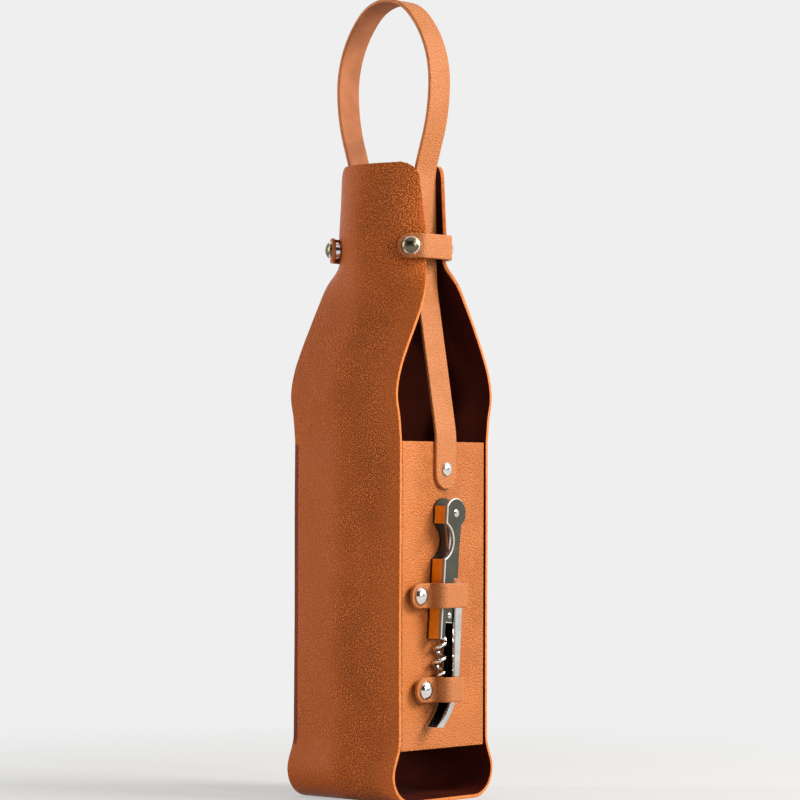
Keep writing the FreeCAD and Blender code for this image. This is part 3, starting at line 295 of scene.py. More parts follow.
def edge_leather(name, colour):
    """A cut edge rubbed smooth and painted, with the layers of the hide faintly seen along it."""
    leather = Finish(name, colour, 0.42)
    leather.shader.inputs["Specular IOR Level"].default_value = 0.22
    place = leather.node("ShaderNodeTexCoord").outputs["Object"]
    wear = leather.node("ShaderNodeTexNoise", {"Vector": place, "Scale": 420.0, "Detail": 3.0}).outputs[0]
    worn = tuple(c * 0.72 for c in colour[:3]) + (1.0,)
    leather.to_shader(leather.mix(leather.ramp(wear, 0.35, 0.7), colour, worn), "Base Color")
    bump = leather.node("ShaderNodeBump", {"Strength": 0.35, "Distance": 0.1 * MM, "Height": wear})
    leather.to_shader(bump.outputs[0], "Normal")
    return leather.material


# The strip's hide is a little deeper and more saturated than the panels' hide; the difference is painted
# shade for the shaded front.
strip_grain = grain_leather("tan_pebbled_leather", linear(185, 94, 37), depth=0.75 * MM, shine=0.11, painted_grain_light=1.3,
                            drawn=((-13 * MM, 3 * MM, 0.37), (42 * MM, 20 * MM, 0.50)), painted_seam_shade=True)
# The flesh side's colour is partly its own darker brown and partly painted shade, darkened for the shaded
# inside of the carrier.
strip_flesh = flesh_leather("flesh_side_painted_shade", linear(60, 14, 3))
strip_edge = edge_leather("painted_leather_edge", linear(214, 124, 60))
STRIP_LEATHER = (strip_grain, strip_flesh, strip_edge)


RIPPLE_HEIGHT = 0.35 * MM
RIPPLE_FOOT = 20 * MM


def ripple(x, height, facing):
    """How far the strip's face stands off its even shape at a place, from the slackness of the hide."""
    swell = noise.noise(Vector((x * 22, height * 16, 3.0 * facing))) * RIPPLE_HEIGHT
    return swell * np.clip(height / RIPPLE_FOOT, 0, 1)


def strip_half(name, facing):
    """One half of the strip, on the side that facing gives: -1 for the front and 1 for the back."""
    inset = 1 - 2 * EDGE_ROUND / PANEL_WIDTH
    shares = np.concatenate(([-1.0, -inset], np.linspace(-1, 1, 29)[1:-1], [inset, 1.0]))
    points, flat = [], []
    length = 0.0
    before = None
    for height, half, depth, crown, taken in strip_rows():
        radius = (half ** 2 + crown ** 2) / (2 * crown) if crown > 1e-6 else None
        turn = math.asin(min(1.0, (half - taken) / radius)) if radius else 0.0
        middle = np.array((depth + crown, height))
        if before is not None:
            length += float(np.linalg.norm(middle - before))
        before = middle
        line, cut = [], []
        for share in shares:
            if radius:
                x = radius * math.sin(turn * share)
                y = depth + crown - radius * (1 - math.cos(turn * share))
                reach = radius * turn * share
            else:
                x, y, reach = half * share, depth, half * share
            line.append((-facing * x, facing * (y + ripple(x, height, facing)), height))
            cut.append((reach, length + 0.6 * (facing + 1)))
        points.append(line)
        flat.append(cut)
    return leather_piece(name, points, flat, STRIP_THICK, STRIP_LEATHER)


strip_front = strip_half("strip_front", -1)
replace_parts(strip_front, "wrap_base", "front_flap")
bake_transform(strip_front)
strip_back = strip_half("strip_back", 1)
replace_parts(strip_back, "wrap_base", "back_flap")
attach(strip_back, "carrier")

# The side panels: two channels of the same hide between the front and the back. Their flanges are sewn
# to the inside of the strip, and the right one has a slit for each corkscrew strap.
SIDE_FACE = 38.4 * MM
SIDE_THICK = 2.0 * MM
SIDE_FOOT = 29 * MM
FLANGE_FACE = 35.15 * MM
FLANGE_WIDTH = 9 * MM
PANEL_TURN = 1.6 * MM
STRAP_WIDTH = 13.6 * MM
SLIT_ROOM = 0.35 * MM
MARK_ROOM = 1.0 * MM
SCREW_STRAPS = {
    "upper": {"height": 113 * MM, "snap": -24.2 * MM, "rise": -14.6 * MM, "slit": 5.9 * MM},
    "lower": {"height": 61.8 * MM, "snap": -20.0 * MM, "rise": -10.6 * MM, "slit": 2.9 * MM},
}
STRAP_THICK = 2.0 * MM


def side_panel(name, side):
    """One side panel, with its face on the right for side 1 and on the left for side -1."""
    flange = [(SIDE_FACE - FLANGE_WIDTH, -FLANGE_FACE), (SIDE_FACE - FLANGE_WIDTH / 2, -FLANGE_FACE)]
    for angle in np.linspace(0, math.pi / 2, 7):
        flange.append((SIDE_FACE - PANEL_TURN + PANEL_TURN * math.sin(angle),
                       -FLANGE_FACE + PANEL_TURN - PANEL_TURN * math.cos(angle)))
    marks = []
    for strap in SCREW_STRAPS.values():
        marks += [strap["slit"] - SLIT_ROOM, strap["slit"] + STRAP_THICK + SLIT_ROOM]
    reach = FLANGE_FACE - PANEL_TURN
    flats = [y for y in np.linspace(-reach, reach, 25)[1:-1] if min(abs(y - m) for m in marks) > MARK_ROOM]
    profile = flange + [(SIDE_FACE, y) for y in sorted(flats + marks)]
    profile += [(x, -y) for x, y in reversed(flange)]
    slit_half = STRAP_WIDTH / 2 + SLIT_ROOM
    ends = []
    for strap in SCREW_STRAPS.values():
        ends += [strap["height"] - slit_half, strap["height"] + slit_half]
    even = [z for z in np.linspace(SIDE_FOOT, FOLD_HEIGHT, 57) if min(abs(z - e) for e in ends) > MARK_ROOM]
    heights = sorted(even + ends + [SIDE_FOOT + EDGE_ROUND, FOLD_HEIGHT - EDGE_ROUND])
    slits = []
    for strap in SCREW_STRAPS.values():
        row = heights.index(strap["height"] - slit_half)
        last = heights.index(strap["height"] + slit_half)
        column = profile.index((SIDE_FACE, strap["slit"] - SLIT_ROOM))
        slits.append(((row, last), (column, column + 1)))
    lengths = np.concatenate(([0], np.cumsum(np.linalg.norm(np.diff(np.array(profile), axis=0), axis=1))))
    points, flat = [], []
    for z in heights:
        points.append([(side * x, side * y, z) for x, y in profile])
        flat.append([(length, z + 1.5 + 0.5 * side) for length in lengths])
    piece = leather_piece(name, points, flat, SIDE_THICK, PANEL_LEATHER, slits if side > 0 else ())
    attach(piece, "carrier")
    return piece


panel_grain = grain_leather("tan_panel_leather", linear(182, 102, 42), depth=0.60 * MM,
                            drawn=((12 * MM, 28 * MM, 0.42),))
PANEL_LEATHER = (panel_grain, strip_flesh, strip_edge)
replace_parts(side_panel("sewn_side_right", 1), "side_panel_right")
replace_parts(side_panel("sewn_side_left", -1), "side_panel_left")

# The seams: a waxed thread along both edges of each side panel, and along one edge of the front and of
# the back, in stitches of 3 mm that are pulled half into the leather.
STITCH_STEP = 3.2 * MM
STITCH_RADIUS = 0.33 * MM
STITCH_HALF = 0.41 * STITCH_STEP
STITCH_SINK = 0.12 * MM
STITCH_ARCH = 0.16 * MM
STITCH_LEAN = 0.10
STITCH_RINGS = ((-1, 0.3), (-0.88, 0.75), (-0.5, 1.0), (0, 1.05), (0.5, 1.0), (0.88, 0.75), (1, 0.3))
STITCH_SIDES = 8


def stitch_row(vertices, faces, foot, top, out):
    """Adds one row of stitches from foot to top, on a face that looks along out."""
    foot, top, out = (np.array(v, float) for v in (foot, top, out))
    along = (top - foot) / np.linalg.norm(top - foot)
    across = np.cross(along, out)
    count = int(np.linalg.norm(top - foot) / STITCH_STEP)
    for k in range(count):
        middle = foot + along * (k + 0.5) * STITCH_STEP - out * STITCH_SINK
        lean = along + across * STITCH_LEAN
        first = len(vertices)
        for t, swell in STITCH_RINGS:
            centre = middle + lean * t * STITCH_HALF - out * t * t * STITCH_ARCH
            for a in np.linspace(0, 2 * math.pi, STITCH_SIDES, endpoint=False):
                vertices.append(centre + (across * math.cos(a) + out * math.sin(a)) * STITCH_RADIUS * swell)
        last = len(vertices) - STITCH_SIDES
        for ring in range(first, last, STITCH_SIDES):
            for s in range(STITCH_SIDES):
                a, b = ring + s, ring + (s + 1) % STITCH_SIDES
                faces.append((a, b, b + STITCH_SIDES, a + STITCH_SIDES))
        faces.append(tuple(reversed(range(first, first + STITCH_SIDES))))
        faces.append(tuple(range(last, last + STITCH_SIDES)))


def thread_finish(name, colour):
    """Waxed thread: two plies twisted round each other, with a dull shine."""
    thread = Finish(name, colour, 0.55)
    place = thread.node("ShaderNodeTexCoord").outputs["Object"]
    turned = thread.node("ShaderNodeMapping", {"Vector": place, "Rotation": (0.6, 0.6, 0.0)}).outputs[0]
    plies = thread.node("ShaderNodeTexWave", {"Vector": turned, "Scale": 620.0, "Distortion": 0.6})
    plies = plies.outputs["Fac"]
    bump = thread.node("ShaderNodeBump", {"Strength": 0.6, "Distance": 0.08 * MM, "Height": plies})
    thread.to_shader(bump.outputs[0], "Normal")
    shade = tuple(c * 0.6 for c in colour[:3]) + (1.0,)
    thread.to_shader(thread.mix(plies, shade, colour), "Base Color")
    return thread.material


def seam(name, rows, material):
    """One piece of thread for a group of stitch rows."""
    vertices, faces = [], []
    for foot, top, out in rows:
        stitch_row(vertices, faces, foot, top, out)
    mesh = bpy.data.meshes.new(name)
    mesh.from_pydata([tuple(v) for v in vertices], [], faces)
    mesh.materials.append(material)
    for polygon in mesh.polygons:
        polygon.use_smooth = True
    piece = bpy.data.objects.new(name, mesh)
    bpy.context.scene.collection.objects.link(piece)
    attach(piece, "carrier")
    return piece


SEAM_FOOT, SEAM_TOP = 31 * MM, 185 * MM
SEAM_IN = 33.6 * MM
EDGE_IN = PANEL_WIDTH / 2 - 4.4 * MM
EDGE_FOOT = 37 * MM
tan_thread = thread_finish("tan_waxed_thread", linear(200, 124, 72))
panel_rows = [((side * SIDE_FACE, y, SEAM_FOOT), (side * SIDE_FACE, y, SEAM_TOP), (side, 0, 0))
              for side in (1, -1) for y in (-SEAM_IN, SEAM_IN)]
seam("side_seam_thread", panel_rows, tan_thread)


def edge_spot(facing, height):
    """A place on the strip's crowned wall, where the stitches along one of its edges lie."""
    crown = wall_crown(height)
    radius = (PANEL_WIDTH ** 2 / 4 + crown ** 2) / (2 * crown)
    out = SEAM_DEPTH / 2 + crown - radius + math.sqrt(radius ** 2 - EDGE_IN ** 2)
    return facing * EDGE_IN, facing * (out + ripple(-EDGE_IN, height, facing)), height


edge_stops = np.arange(EDGE_FOOT, SEAM_TOP, STITCH_STEP * 1.001)
edge_rows = [(edge_spot(facing, foot), edge_spot(facing, top), (0, facing, 0))
             for facing in (-1, 1) for foot, top in zip(edge_stops, edge_stops[1:])]
seam("strip_seam_thread", edge_rows, thread_finish("pale_waxed_thread", linear(206, 132, 84)))

# The handle: one strap of the same hide with its grain outside, riveted by its two rounded ends to the
# side panels. It leans in to the carrier's neck and opens above it into a loop for the hand.
HANDLE_WIDTH = 17 * MM
HANDLE_FACE = SIDE_FACE + STRAP_THICK
HANDLE_FOOT = 171.0
HANDLE_FOLD = (29.3, 362.0)
HANDLE_WIDE = (35.0, 396.0)
HANDLE_TOP = (0.0, 444.5)
CROWN_RADIUS = 26.0
LEG_TURNS = ((HANDLE_FACE / MM, 201.0), (26.0, 283.0), (24.6, 347.0))
LEG_RADII = (40, 120, 32)


def rounded_line(corners, radii, step=1.0 * MM):
    """Points about a step apart along straight runs, with each inner corner rounded to its radius."""
    corners = [np.array(c, float) for c in corners]
    stops = [corners[0]]
    for before, corner, after, radius in zip(corners, corners[1:], corners[2:], radii):
        toward = (before - corner) / np.linalg.norm(before - corner)
        away = (after - corner) / np.linalg.norm(after - corner)
        half = math.acos(np.clip(toward @ away, -1, 1)) / 2
        inward = (toward + away) / np.linalg.norm(toward + away)
        centre = corner + inward * radius / math.sin(half)
        entry = corner + toward * radius / math.tan(half)
        swing = math.pi - 2 * half
        for angle in np.linspace(0, swing, max(6, int(radius * swing / step))):
            stops.append(centre + (entry - centre) * math.cos(angle) - toward * radius * math.sin(angle))
    stops.append(corners[-1])
    return np.array(stops)


TIP_ANGLES = (9, 14, 22, 31, 40, 50, 60, 70, 80)


def strap_piece(name, line, across, width, materials, round_ends=(True, True), step=1.1 * MM):
    """A strap with its outer face along a line, its width along across and rounded ends."""
    lengths = np.concatenate(([0], np.cumsum(np.linalg.norm(np.diff(line, axis=0), axis=1))))
    total = lengths[-1]
    radius = width / 2
    tip = radius * (1 - np.cos(np.radians(TIP_ANGLES)))
    reach = radius if round_ends[0] else 0.0
    stops = list(tip) if round_ends[0] else [0.0, EDGE_ROUND]
    last = total - (radius if round_ends[1] else 0.0)
    stops += list(np.linspace(max(reach, 2 * EDGE_ROUND), last - 2 * EDGE_ROUND, int((last - reach) / step)))
    stops += list(total - tip[::-1]) if round_ends[1] else [total - EDGE_ROUND, total]
    inset = 1 - EDGE_ROUND / radius
    shares = [-1, -inset] + list(np.linspace(-1, 1, 13)[1:-1]) + [inset, 1]
    points, flat = [], []
    for s in stops:
        place = np.array([np.interp(s, lengths, line[:, k]) for k in range(3)])
        half = radius
        for end, near in ((round_ends[0], s), (round_ends[1], total - s)):
            if end and near < radius:
                half = math.sqrt(max(radius ** 2 - (radius - near) ** 2, 0.0))
        points.append([place + np.array(across) * half * share for share in shares])
        flat.append([(half * share, s) for share in shares])
    return leather_piece(name, points, flat, STRAP_THICK, materials)


def arc_points(start, end, centre, count):
    """Points on the shorter arc from start to end round a centre, without its start."""
    first = math.atan2(start[1] - centre[1], start[0] - centre[0])
    last = math.atan2(end[1] - centre[1], end[0] - centre[0])
    radius = math.hypot(start[0] - centre[0], start[1] - centre[1])
    return [(centre[0] + radius * math.cos(a), centre[1] + radius * math.sin(a))
            for a in np.linspace(first, last, count)[1:]]


def handle_line():
    """The outer face of the handle from its right rivet over the loop to its left one, drawn in
    millimetres and given in metres."""
    leg = rounded_line([(HANDLE_FACE / MM, HANDLE_FOOT), *LEG_TURNS, HANDLE_FOLD], LEG_RADII, step=1.0)
    half, tall = HANDLE_WIDE[0], HANDLE_TOP[1] - HANDLE_WIDE[1]
    flank = (half ** 2 + (tall - CROWN_RADIUS) ** 2 - CROWN_RADIUS ** 2) / (2 * (half - CROWN_RADIUS))
    flank_centre = np.array((half - flank, HANDLE_WIDE[1]))
    crown_centre = np.array((0.0, HANDLE_TOP[1] - CROWN_RADIUS))
    way = crown_centre - flank_centre
    joint = flank_centre + way / np.linalg.norm(way) * flank
    side, rise = HANDLE_WIDE[0] - HANDLE_FOLD[0], HANDLE_WIDE[1] - HANDLE_FOLD[1]
    lower = (side ** 2 + rise ** 2) / (2 * side)
    right = list(map(tuple, leg)) + arc_points(HANDLE_FOLD, HANDLE_WIDE, (half - lower, HANDLE_WIDE[1]), 24)
    right += arc_points(HANDLE_WIDE, joint, flank_centre, 24)
    right += arc_points(joint, HANDLE_TOP, crown_centre, 20)
    whole = right + [(-x, z) for x, z in reversed(right[:-1])]
    return np.array([(x * MM, 0.0, z * MM) for x, z in whole])


strap_grain = grain_leather("tan_strap_leather", linear(174, 103, 51), pebble=1.3 * MM, depth=0.28 * MM)
strap_flesh = flesh_leather("strap_lining", linear(150, 95, 65))
STRAP_LEATHER = (strap_grain, strap_flesh, strip_edge)
handle = strap_piece("handle_strap", handle_line(), (0, 1, 0), HANDLE_WIDTH, STRAP_LEATHER)
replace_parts(handle, "handle_leg_right", "handle_loop", "handle_leg_left")
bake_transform(handle)

# The neck straps: two short straps riveted to the back of the strip. They bend round its edges, and
# their rounded tabs snap to the front, so that the top closes to a narrow neck.
NECK_SHARE = 9
FASTENER_AZIMUTH = math.radians(40.6)
SNAP_STACK = 2.8 * MM
RIVET_SEAT = 0.5 * MM
END_REACH = 7.2 * MM
NECK_SIDE_ROOM = 1.0 * MM
NECK_TURN = 4 * MM
neck_half, neck_edge, neck_bow = (FLAP_SHAPE[NECK_SHARE, k] * size for k, size in
                                  ((1, PANEL_WIDTH / 2), (2, SEAM_DEPTH / 2), (3, PANEL_WIDTH)))
neck_radius = (neck_half ** 2 + neck_bow ** 2) / (2 * neck_bow)
neck_height = 304.607 * MM


def outward(line, thick):
    """The line of a strap's outer face, to the right of the line of its inner one."""
    way = np.gradient(line, axis=0)
    way /= np.linalg.norm(way, axis=1, keepdims=True)
    return line + np.stack((way[:, 1], -way[:, 0], np.zeros(len(line))), axis=1) * thick


def neck_strap(name, side):
    """One neck strap, from its tab in front round the side to its rivet at the back."""
    across, deep = math.sin(FASTENER_AZIMUTH), math.cos(FASTENER_AZIMUTH)
    line_side = neck_half + NECK_SIDE_ROOM
    corners = []
    for facing, stack in ((-1, SNAP_STACK), (1, RIVET_SEAT)):
        seat = np.array((neck_radius * across,
                         facing * (neck_edge + neck_bow - neck_radius + neck_radius * deep)))
        seat += np.array((across, facing * deep)) * stack
        run = np.array((deep, -facing * across))
        turn = seat + run * (line_side - seat[0]) / run[0]
        corners.append((seat - run * END_REACH, turn))
    (tab_end, tab_turn), (back_end, back_turn) = corners
    flat_line = rounded_line([tab_end, tab_turn, back_turn, back_end], (NECK_TURN, NECK_TURN), step=0.5 * MM)
    line = np.column_stack((flat_line, np.full(len(flat_line), neck_height)))
    line = outward(line, STRAP_THICK) * np.array((side, 1, 1))
    return strap_piece(name, line, (0, 0, -side), STRAP_WIDTH, STRAP_LEATHER, step=0.8 * MM)


for spot, side in (("right", 1), ("left", -1)):
    strap = neck_strap(f"neck_snap_strap_{spot}", side)
    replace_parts(strap, f"neck_strap_{spot}", f"neck_tab_{spot}")
    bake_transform(strap)

# The corkscrew's straps: each is tucked through a slit in the right panel and held inside, crosses over
# the corkscrew and comes down to a snap.
ARCH_FACE = SIDE_FACE + 11.4 * MM
ARCH_RADIUS = 3.3 * MM
SLIT_RADIUS = 0.4 * MM
TUCK_FACE = SIDE_FACE - SIDE_THICK - STRAP_THICK
TUCK_REACH = 9 * MM


def screw_strap(level):
    """One corkscrew strap, from its tab to its end inside the panel."""
    sizes = SCREW_STRAPS[level]
    low = SIDE_FACE + SNAP_STACK
    corners = [(low, sizes["snap"] - END_REACH), (low, sizes["rise"]), (ARCH_FACE, sizes["rise"]),
               (ARCH_FACE, sizes["slit"]), (TUCK_FACE, sizes["slit"]),
               (TUCK_FACE, sizes["slit"] + TUCK_REACH)]
    flat_line = rounded_line(corners, (ARCH_RADIUS, ARCH_RADIUS, ARCH_RADIUS, SLIT_RADIUS), step=0.4 * MM)
    line = outward(np.column_stack((flat_line, np.full(len(flat_line), sizes["height"]))), STRAP_THICK)
    return strap_piece(f"corkscrew_snap_strap_{level}", line, (0, 0, -1), STRAP_WIDTH, STRAP_LEATHER,
                       round_ends=(True, False), step=0.6 * MM)


for level, sizes in SCREW_STRAPS.items():
    strap = screw_strap(level)
    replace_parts(strap, f"corkscrew_strap_{level}", f"corkscrew_strap_end_{level}")
    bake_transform(strap)

# The fasteners: stamped brass snaps and double cap rivets, plated and polished, with fine scratches from
# handling on their domes. The caps of the neck snaps carry a painted reflection: a darker olive tone for the
# dark room they face, and a bright painted highlight round the rim.
BRIGHT_METAL = linear(240, 238, 234)


def worn_metal(name, colour, roughness, scratch=0.08, grain=900.0, stretch=(1.0, 1.0, 1.0)):
    """Metal with fine marks: a brushed or scratched roughness and a slight change of tone."""
    metal = Finish(name, colour, roughness, metallic=1.0)
    metal.place = metal.node("ShaderNodeTexCoord").outputs["Object"]
    drawn = metal.node("ShaderNodeMapping", {"Vector": metal.place, "Scale": stretch}).outputs[0]
    marks = metal.node("ShaderNodeTexNoise", {"Vector": drawn, "Scale": grain, "Detail": 5.0}).outputs[0]
    stain = metal.node("ShaderNodeTexNoise", {"Vector": metal.place, "Scale": 120.0, "Detail": 3.0})
    metal.to_shader(metal.ramp(marks, 0.3, 0.7, roughness - scratch / 2, roughness + scratch), "Roughness")
    dull = tuple(c * 0.82 for c in colour[:3]) + (1.0,)
    metal.tone = metal.mix(metal.ramp(stain.outputs[0], 0.35, 0.7), colour, dull)
    metal.to_shader(metal.tone, "Base Color")
    bump = metal.node("ShaderNodeBump", {"Strength": 0.12, "Distance": 0.03 * MM, "Height": marks})
    metal.to_shader(bump.outputs[0], "Normal")
    return metal


def finish_nodes(material, *starts):
    """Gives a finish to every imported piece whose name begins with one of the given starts."""
    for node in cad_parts:
        if node.startswith(starts):
            for slot in bpy.data.objects[node].material_slots:
                slot.material = material


plated = worn_metal("polished_plating", BRIGHT_METAL, 0.16)
finish_nodes(plated.material, "neck_snap_", "corkscrew_snap_", "handle_rivet_", "neck_rivet_")
# Painted reflection on the neck snap caps: a darker olive base for the dark room they face, and a painted
# highlight in a ring where the cap's surface turns away from its facing.
cap_reflection = worn_metal("cap_plating_painted_reflection", linear(116, 108, 88), 0.30)
cap_normal = cap_reflection.node("ShaderNodeTexCoord").outputs["Normal"]
cap_normal = cap_reflection.node("ShaderNodeSeparateXYZ", {0: cap_normal}).outputs
cap_side = cap_reflection.math("MULTIPLY", cap_reflection.math("ABSOLUTE", cap_normal[0]), math.sin(FASTENER_AZIMUTH))
cap_front = cap_reflection.math("MULTIPLY", cap_normal[1], -math.cos(FASTENER_AZIMUTH))
painted_rim_highlight = cap_reflection.ramp(cap_reflection.math("ADD", cap_side, cap_front), 0.68, 0.74, 1.0, 0.0)
cap_reflection.to_shader(cap_reflection.mix(painted_rim_highlight, cap_reflection.tone, BRIGHT_METAL), "Base Color")
finish_nodes(cap_reflection.material, "neck_snap_cap_")

# The corkscrew: stamped steel side plates with a satin face, bevels painted bright as a painted highlight
# and cut edges a lighter grey, orange spines between them, and a polished knife, lever and worm on riveted
# pins.
# The inner plate is a darker copy of the plate steel, as painted shade, and the inside of the lever's
# channel is painted near-black, as painted shade.
LEVER_MIDDLE = 44.55 * MM
CHANNEL_HALF = 3.12 * MM


def face_normal(metal):
    """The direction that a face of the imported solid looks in, as its three parts."""
    normal = metal.node("ShaderNodeNewGeometry").outputs["True Normal"]
    return metal.node("ShaderNodeSeparateXYZ", {0: normal}).outputs


satin_steel = worn_metal("satin_plate_steel", linear(90, 90, 79), 0.36, grain=1600.0, stretch=(1, 1, 0.12))
# Painted highlight: the bevels are painted near-white and the cut edges light grey, and both are less
# metallic than the face, so they stay bright whatever they reflect.
sideways = satin_steel.math("ABSOLUTE", face_normal(satin_steel)[0])
on_face = satin_steel.ramp(sideways, 0.90, 0.97)
on_bevel = satin_steel.ramp(sideways, 0.25, 0.45)
painted_edge_highlight = satin_steel.mix(on_bevel, linear(150, 147, 138), BRIGHT_METAL)
satin_steel.to_shader(satin_steel.mix(on_face, painted_edge_highlight, satin_steel.tone), "Base Color")
satin_steel.to_shader(satin_steel.ramp(on_face, 0.0, 1.0, 0.4, 1.0, smooth=False), "Metallic")
finish_nodes(satin_steel.material, "corkscrew_outer_plate")
# Painted shade: the inner plate is a darker copy of the plate steel without bright edges, for the shade
# beside the spine.
shaded_plate_steel = worn_metal("plate_steel_painted_shade", linear(82, 79, 72), 0.40, grain=1600.0, stretch=(1, 1, 0.12))
finish_nodes(shaded_plate_steel.material, "corkscrew_inner_plate")
bright_steel = worn_metal("polished_tool_steel", linear(226, 224, 220), 0.14, grain=1300.0,
                          stretch=(1, 1, 0.2))
finish_nodes(bright_steel.material, "corkscrew_knife", "corkscrew_worm", "corkscrew_head_pin",
             "corkscrew_lever_pin")
lever_steel = worn_metal("lever_steel", linear(222, 220, 214), 0.18, grain=1300.0, stretch=(1, 1, 0.2))
# Painted shade: the inside of the lever's channel, on faces that don't look back, is painted near-black.
across = lever_steel.node("ShaderNodeSeparateXYZ", {0: lever_steel.place}).outputs[0]
off_middle = lever_steel.math("ABSOLUTE", lever_steel.math("SUBTRACT", across, LEVER_MIDDLE))
inside = lever_steel.ramp(off_middle, CHANNEL_HALF, CHANNEL_HALF + 0.04 * MM, 1.0, 0.0)
not_back = lever_steel.ramp(face_normal(lever_steel)[1], 0.3, 0.4, 1.0, 0.0)
inside = lever_steel.math("MULTIPLY", inside, not_back)
lever_steel.to_shader(lever_steel.mix(inside, lever_steel.tone, linear(26, 20, 17)), "Base Color")
finish_nodes(lever_steel.material, "corkscrew_lever")


def spine_finish():
    """Orange moulded plastic with a soft sheen and slight mottling."""
    orange, deep_orange = linear(255, 148, 16), linear(242, 132, 12)
    spine = Finish("orange_spine", orange, 0.36)
    place = spine.node("ShaderNodeTexCoord").outputs["Object"]
    mottle = spine.node("ShaderNodeTexNoise", {"Vector": place, "Scale": 340.0, "Detail": 4.0}).outputs[0]
    spine.to_shader(spine.mix(spine.ramp(mottle, 0.35, 0.7), orange, deep_orange), "Base Color")
    fine = spine.node("ShaderNodeTexNoise", {"Vector": place, "Scale": 2400.0, "Detail": 2.0}).outputs[0]
    bump = spine.node("ShaderNodeBump", {"Strength": 0.2, "Distance": 0.04 * MM, "Height": fine})
    spine.to_shader(bump.outputs[0], "Normal")
    spine.to_shader(spine.ramp(mottle, 0.3, 0.7, 0.30, 0.44), "Roughness")
    return spine.material


finish_nodes(spine_finish(), "corkscrew_head_spine", "corkscrew_handle_spine")

# Floor and backdrop: a plain pale studio floor that keeps the carrier's shadow and fades with the distance
# into the same white as the room behind it.
ROOM_WHITE = (0.863, 0.863, 0.863, 1.0)
FLOOR_REACH = 8.0
white_room = Finish("pale_floor", (0.60, 0.60, 0.60, 1.0), 0.9)
seen = white_room.node("ShaderNodeLightPath")
bright = white_room.node("ShaderNodeEmission", {"Color": ROOM_WHITE, "Strength": 1.0})
place = white_room.node("ShaderNodeTexCoord").outputs["Object"]
distance = white_room.node("ShaderNodeVectorMath", {0: place}, operation="LENGTH").outputs["Value"]
fade = white_room.ramp(distance, 0.10, 0.60, 0.50, 1.0)
looked_at = white_room.math("MAXIMUM", seen.outputs["Is Camera Ray"], seen.outputs["Is Glossy Ray"])
looked_at = white_room.math("MAXIMUM", looked_at, seen.outputs["Is Transmission Ray"])
blend_in = white_room.math("MULTIPLY", fade, looked_at)
joined = white_room.node("ShaderNodeMixShader", {0: blend_in, 1: white_room.shader.outputs[0],
                                                 2: bright.outputs[0]})
white_room.tree.links.new(joined.outputs[0], white_room.tree.nodes["Material Output"].inputs["Surface"])
floor_mesh = bpy.data.meshes.new("studio_floor")
floor_corners = [(x * FLOOR_REACH, y * FLOOR_REACH, 0) for x, y in ((-1, -1), (1, -1), (1, 1), (-1, 1))]
floor_mesh.from_pydata(floor_corners, [], [(0, 1, 2, 3)])
floor_mesh.materials.append(white_room.material)
floor = bpy.data.objects.new("studio_floor", floor_mesh)
bpy.context.scene.collection.objects.link(floor)

# Light: one large soft lamp from the right and behind, a small one that grazes the front from the right
# and brings out its grain, a weak one from the left, and a pale room.
room = bpy.data.worlds.new("pale_room")
bpy.context.scene.world = room
room.use_nodes = True
room_nodes = room.node_tree
path = room_nodes.nodes.new("ShaderNodeLightPath")
seen_white = room_nodes.nodes.new("ShaderNodeMath")
seen_white.operation = "MAXIMUM"
room_nodes.links.new(path.outputs["Is Camera Ray"], seen_white.inputs[0])
room_nodes.links.new(path.outputs["Is Glossy Ray"], seen_white.inputs[1])
level = room_nodes.nodes.new("ShaderNodeMix")
level.data_type = "RGBA"
level.inputs[6].default_value = (0.42, 0.42, 0.43, 1.0)
level.inputs[7].default_value = ROOM_WHITE
room_nodes.links.new(seen_white.outputs[0], level.inputs[0])
room_nodes.links.new(level.outputs[2], room_nodes.nodes["Background"].inputs["Color"])


LAMP_AIM = Vector((0, 0, 0.2))


def soft_lamp(name, azimuth, elevation, distance, size, watts, colour=(1.0, 1.0, 1.0)):
    """A soft box of a width and a height that looks at the middle of the carrier."""
    a, e = math.radians(azimuth), math.radians(elevation)
    back = Vector((math.sin(a) * math.cos(e), -math.cos(a) * math.cos(e), math.sin(e)))
    data = bpy.data.lights.new(name, "AREA")
    data.shape = "RECTANGLE"
    data.size, data.size_y = size
    data.energy = watts
    data.color = colour
    lamp = bpy.data.objects.new(name, data)
    lamp.location = LAMP_AIM + back * distance
    lamp.rotation_euler = (-back).to_track_quat("-Z", "Y").to_euler()
    bpy.context.scene.collection.objects.link(lamp)


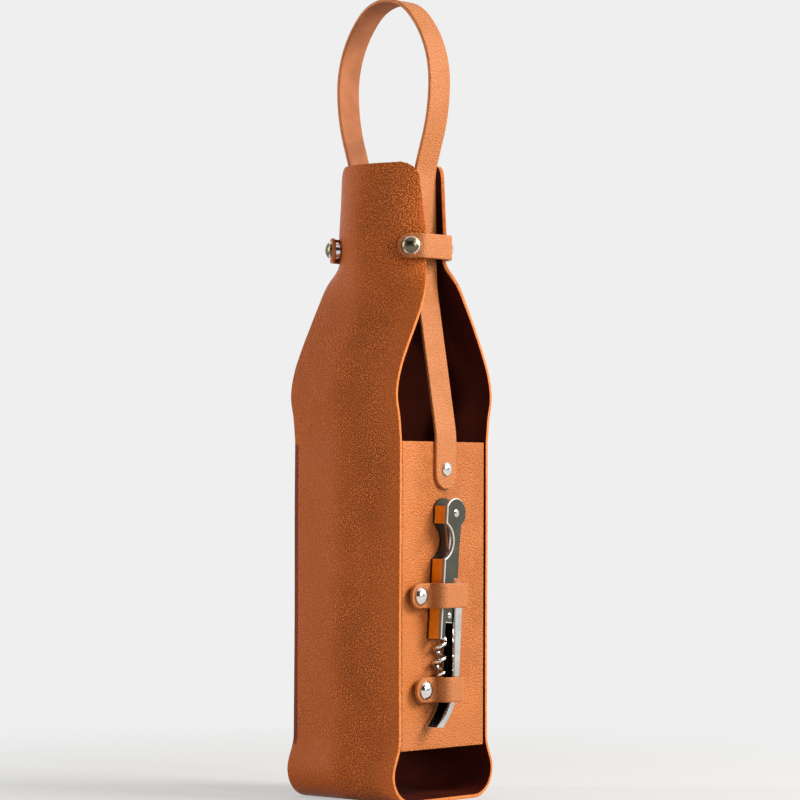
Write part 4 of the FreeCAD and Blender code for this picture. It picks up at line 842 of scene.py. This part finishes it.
soft_lamp("key_softbox", 118, 30, 1.5, (0.7, 0.7), 34, (1.0, 0.96, 0.90))
soft_lamp("grazing_softbox", 84, 14, 1.6, (0.3, 0.5), 8, (1.0, 0.95, 0.88))
soft_lamp("fill_softbox", -47, 14, 2.0, (0.22, 1.2), 21, (1.0, 0.92, 0.82))

# A dark cloth screen that stands behind the camera, as in a studio, so that polished metal has something
# to set it off. The camera itself doesn't see it.
SCREEN_RADIUS = 2.4
SCREEN_HEIGHT = 2.8
dark_cloth = Finish("dark_studio_cloth", (0.02, 0.018, 0.016, 1.0), 0.9)
screen_mesh = bpy.data.meshes.new("dark_screen")
screen_turns = np.radians(np.linspace(-72, 122, 12))
screen_posts = len(screen_turns)
screen_points = [(SCREEN_RADIUS * math.sin(a), -SCREEN_RADIUS * math.cos(a), z)
                 for z in (0.0, SCREEN_HEIGHT) for a in screen_turns]
screen_mesh.from_pydata(screen_points, [], [(k, k + 1, k + screen_posts + 1, k + screen_posts)
                                            for k in range(screen_posts - 1)])
screen_mesh.materials.append(dark_cloth.material)
dark_screen = bpy.data.objects.new("dark_screen", screen_mesh)
dark_screen.visible_camera = False
bpy.context.scene.collection.objects.link(dark_screen)

# Camera: a long lens a little below the carrier's middle, turned to see the front and the right side, with
# a slight tilt, pan and roll.
CAMERA_AZIMUTH = 41.439
CAMERA_DISTANCE = 1.70
CAMERA_HEIGHT = 0.1714
CAMERA_LENS = 137.03
CAMERA_TILT = 91.658
CAMERA_PAN = 0.154
CAMERA_ROLL = 0.219
camera_data = bpy.data.cameras.new("camera")
camera_data.sensor_width = 36.0
camera_data.lens = CAMERA_LENS
camera = bpy.data.objects.new("camera", camera_data)
turn = math.radians(CAMERA_AZIMUTH)
camera.location = (math.sin(turn) * CAMERA_DISTANCE, -math.cos(turn) * CAMERA_DISTANCE, CAMERA_HEIGHT)
aimed = Euler((math.radians(CAMERA_TILT), 0, math.radians(CAMERA_AZIMUTH - CAMERA_PAN))).to_matrix()
camera.rotation_euler = (aimed @ Matrix.Rotation(math.radians(CAMERA_ROLL), 3, "Z")).to_euler()
bpy.context.scene.collection.objects.link(camera)
bpy.context.scene.camera = camera
bpy.context.scene.view_settings.view_transform = "Standard"
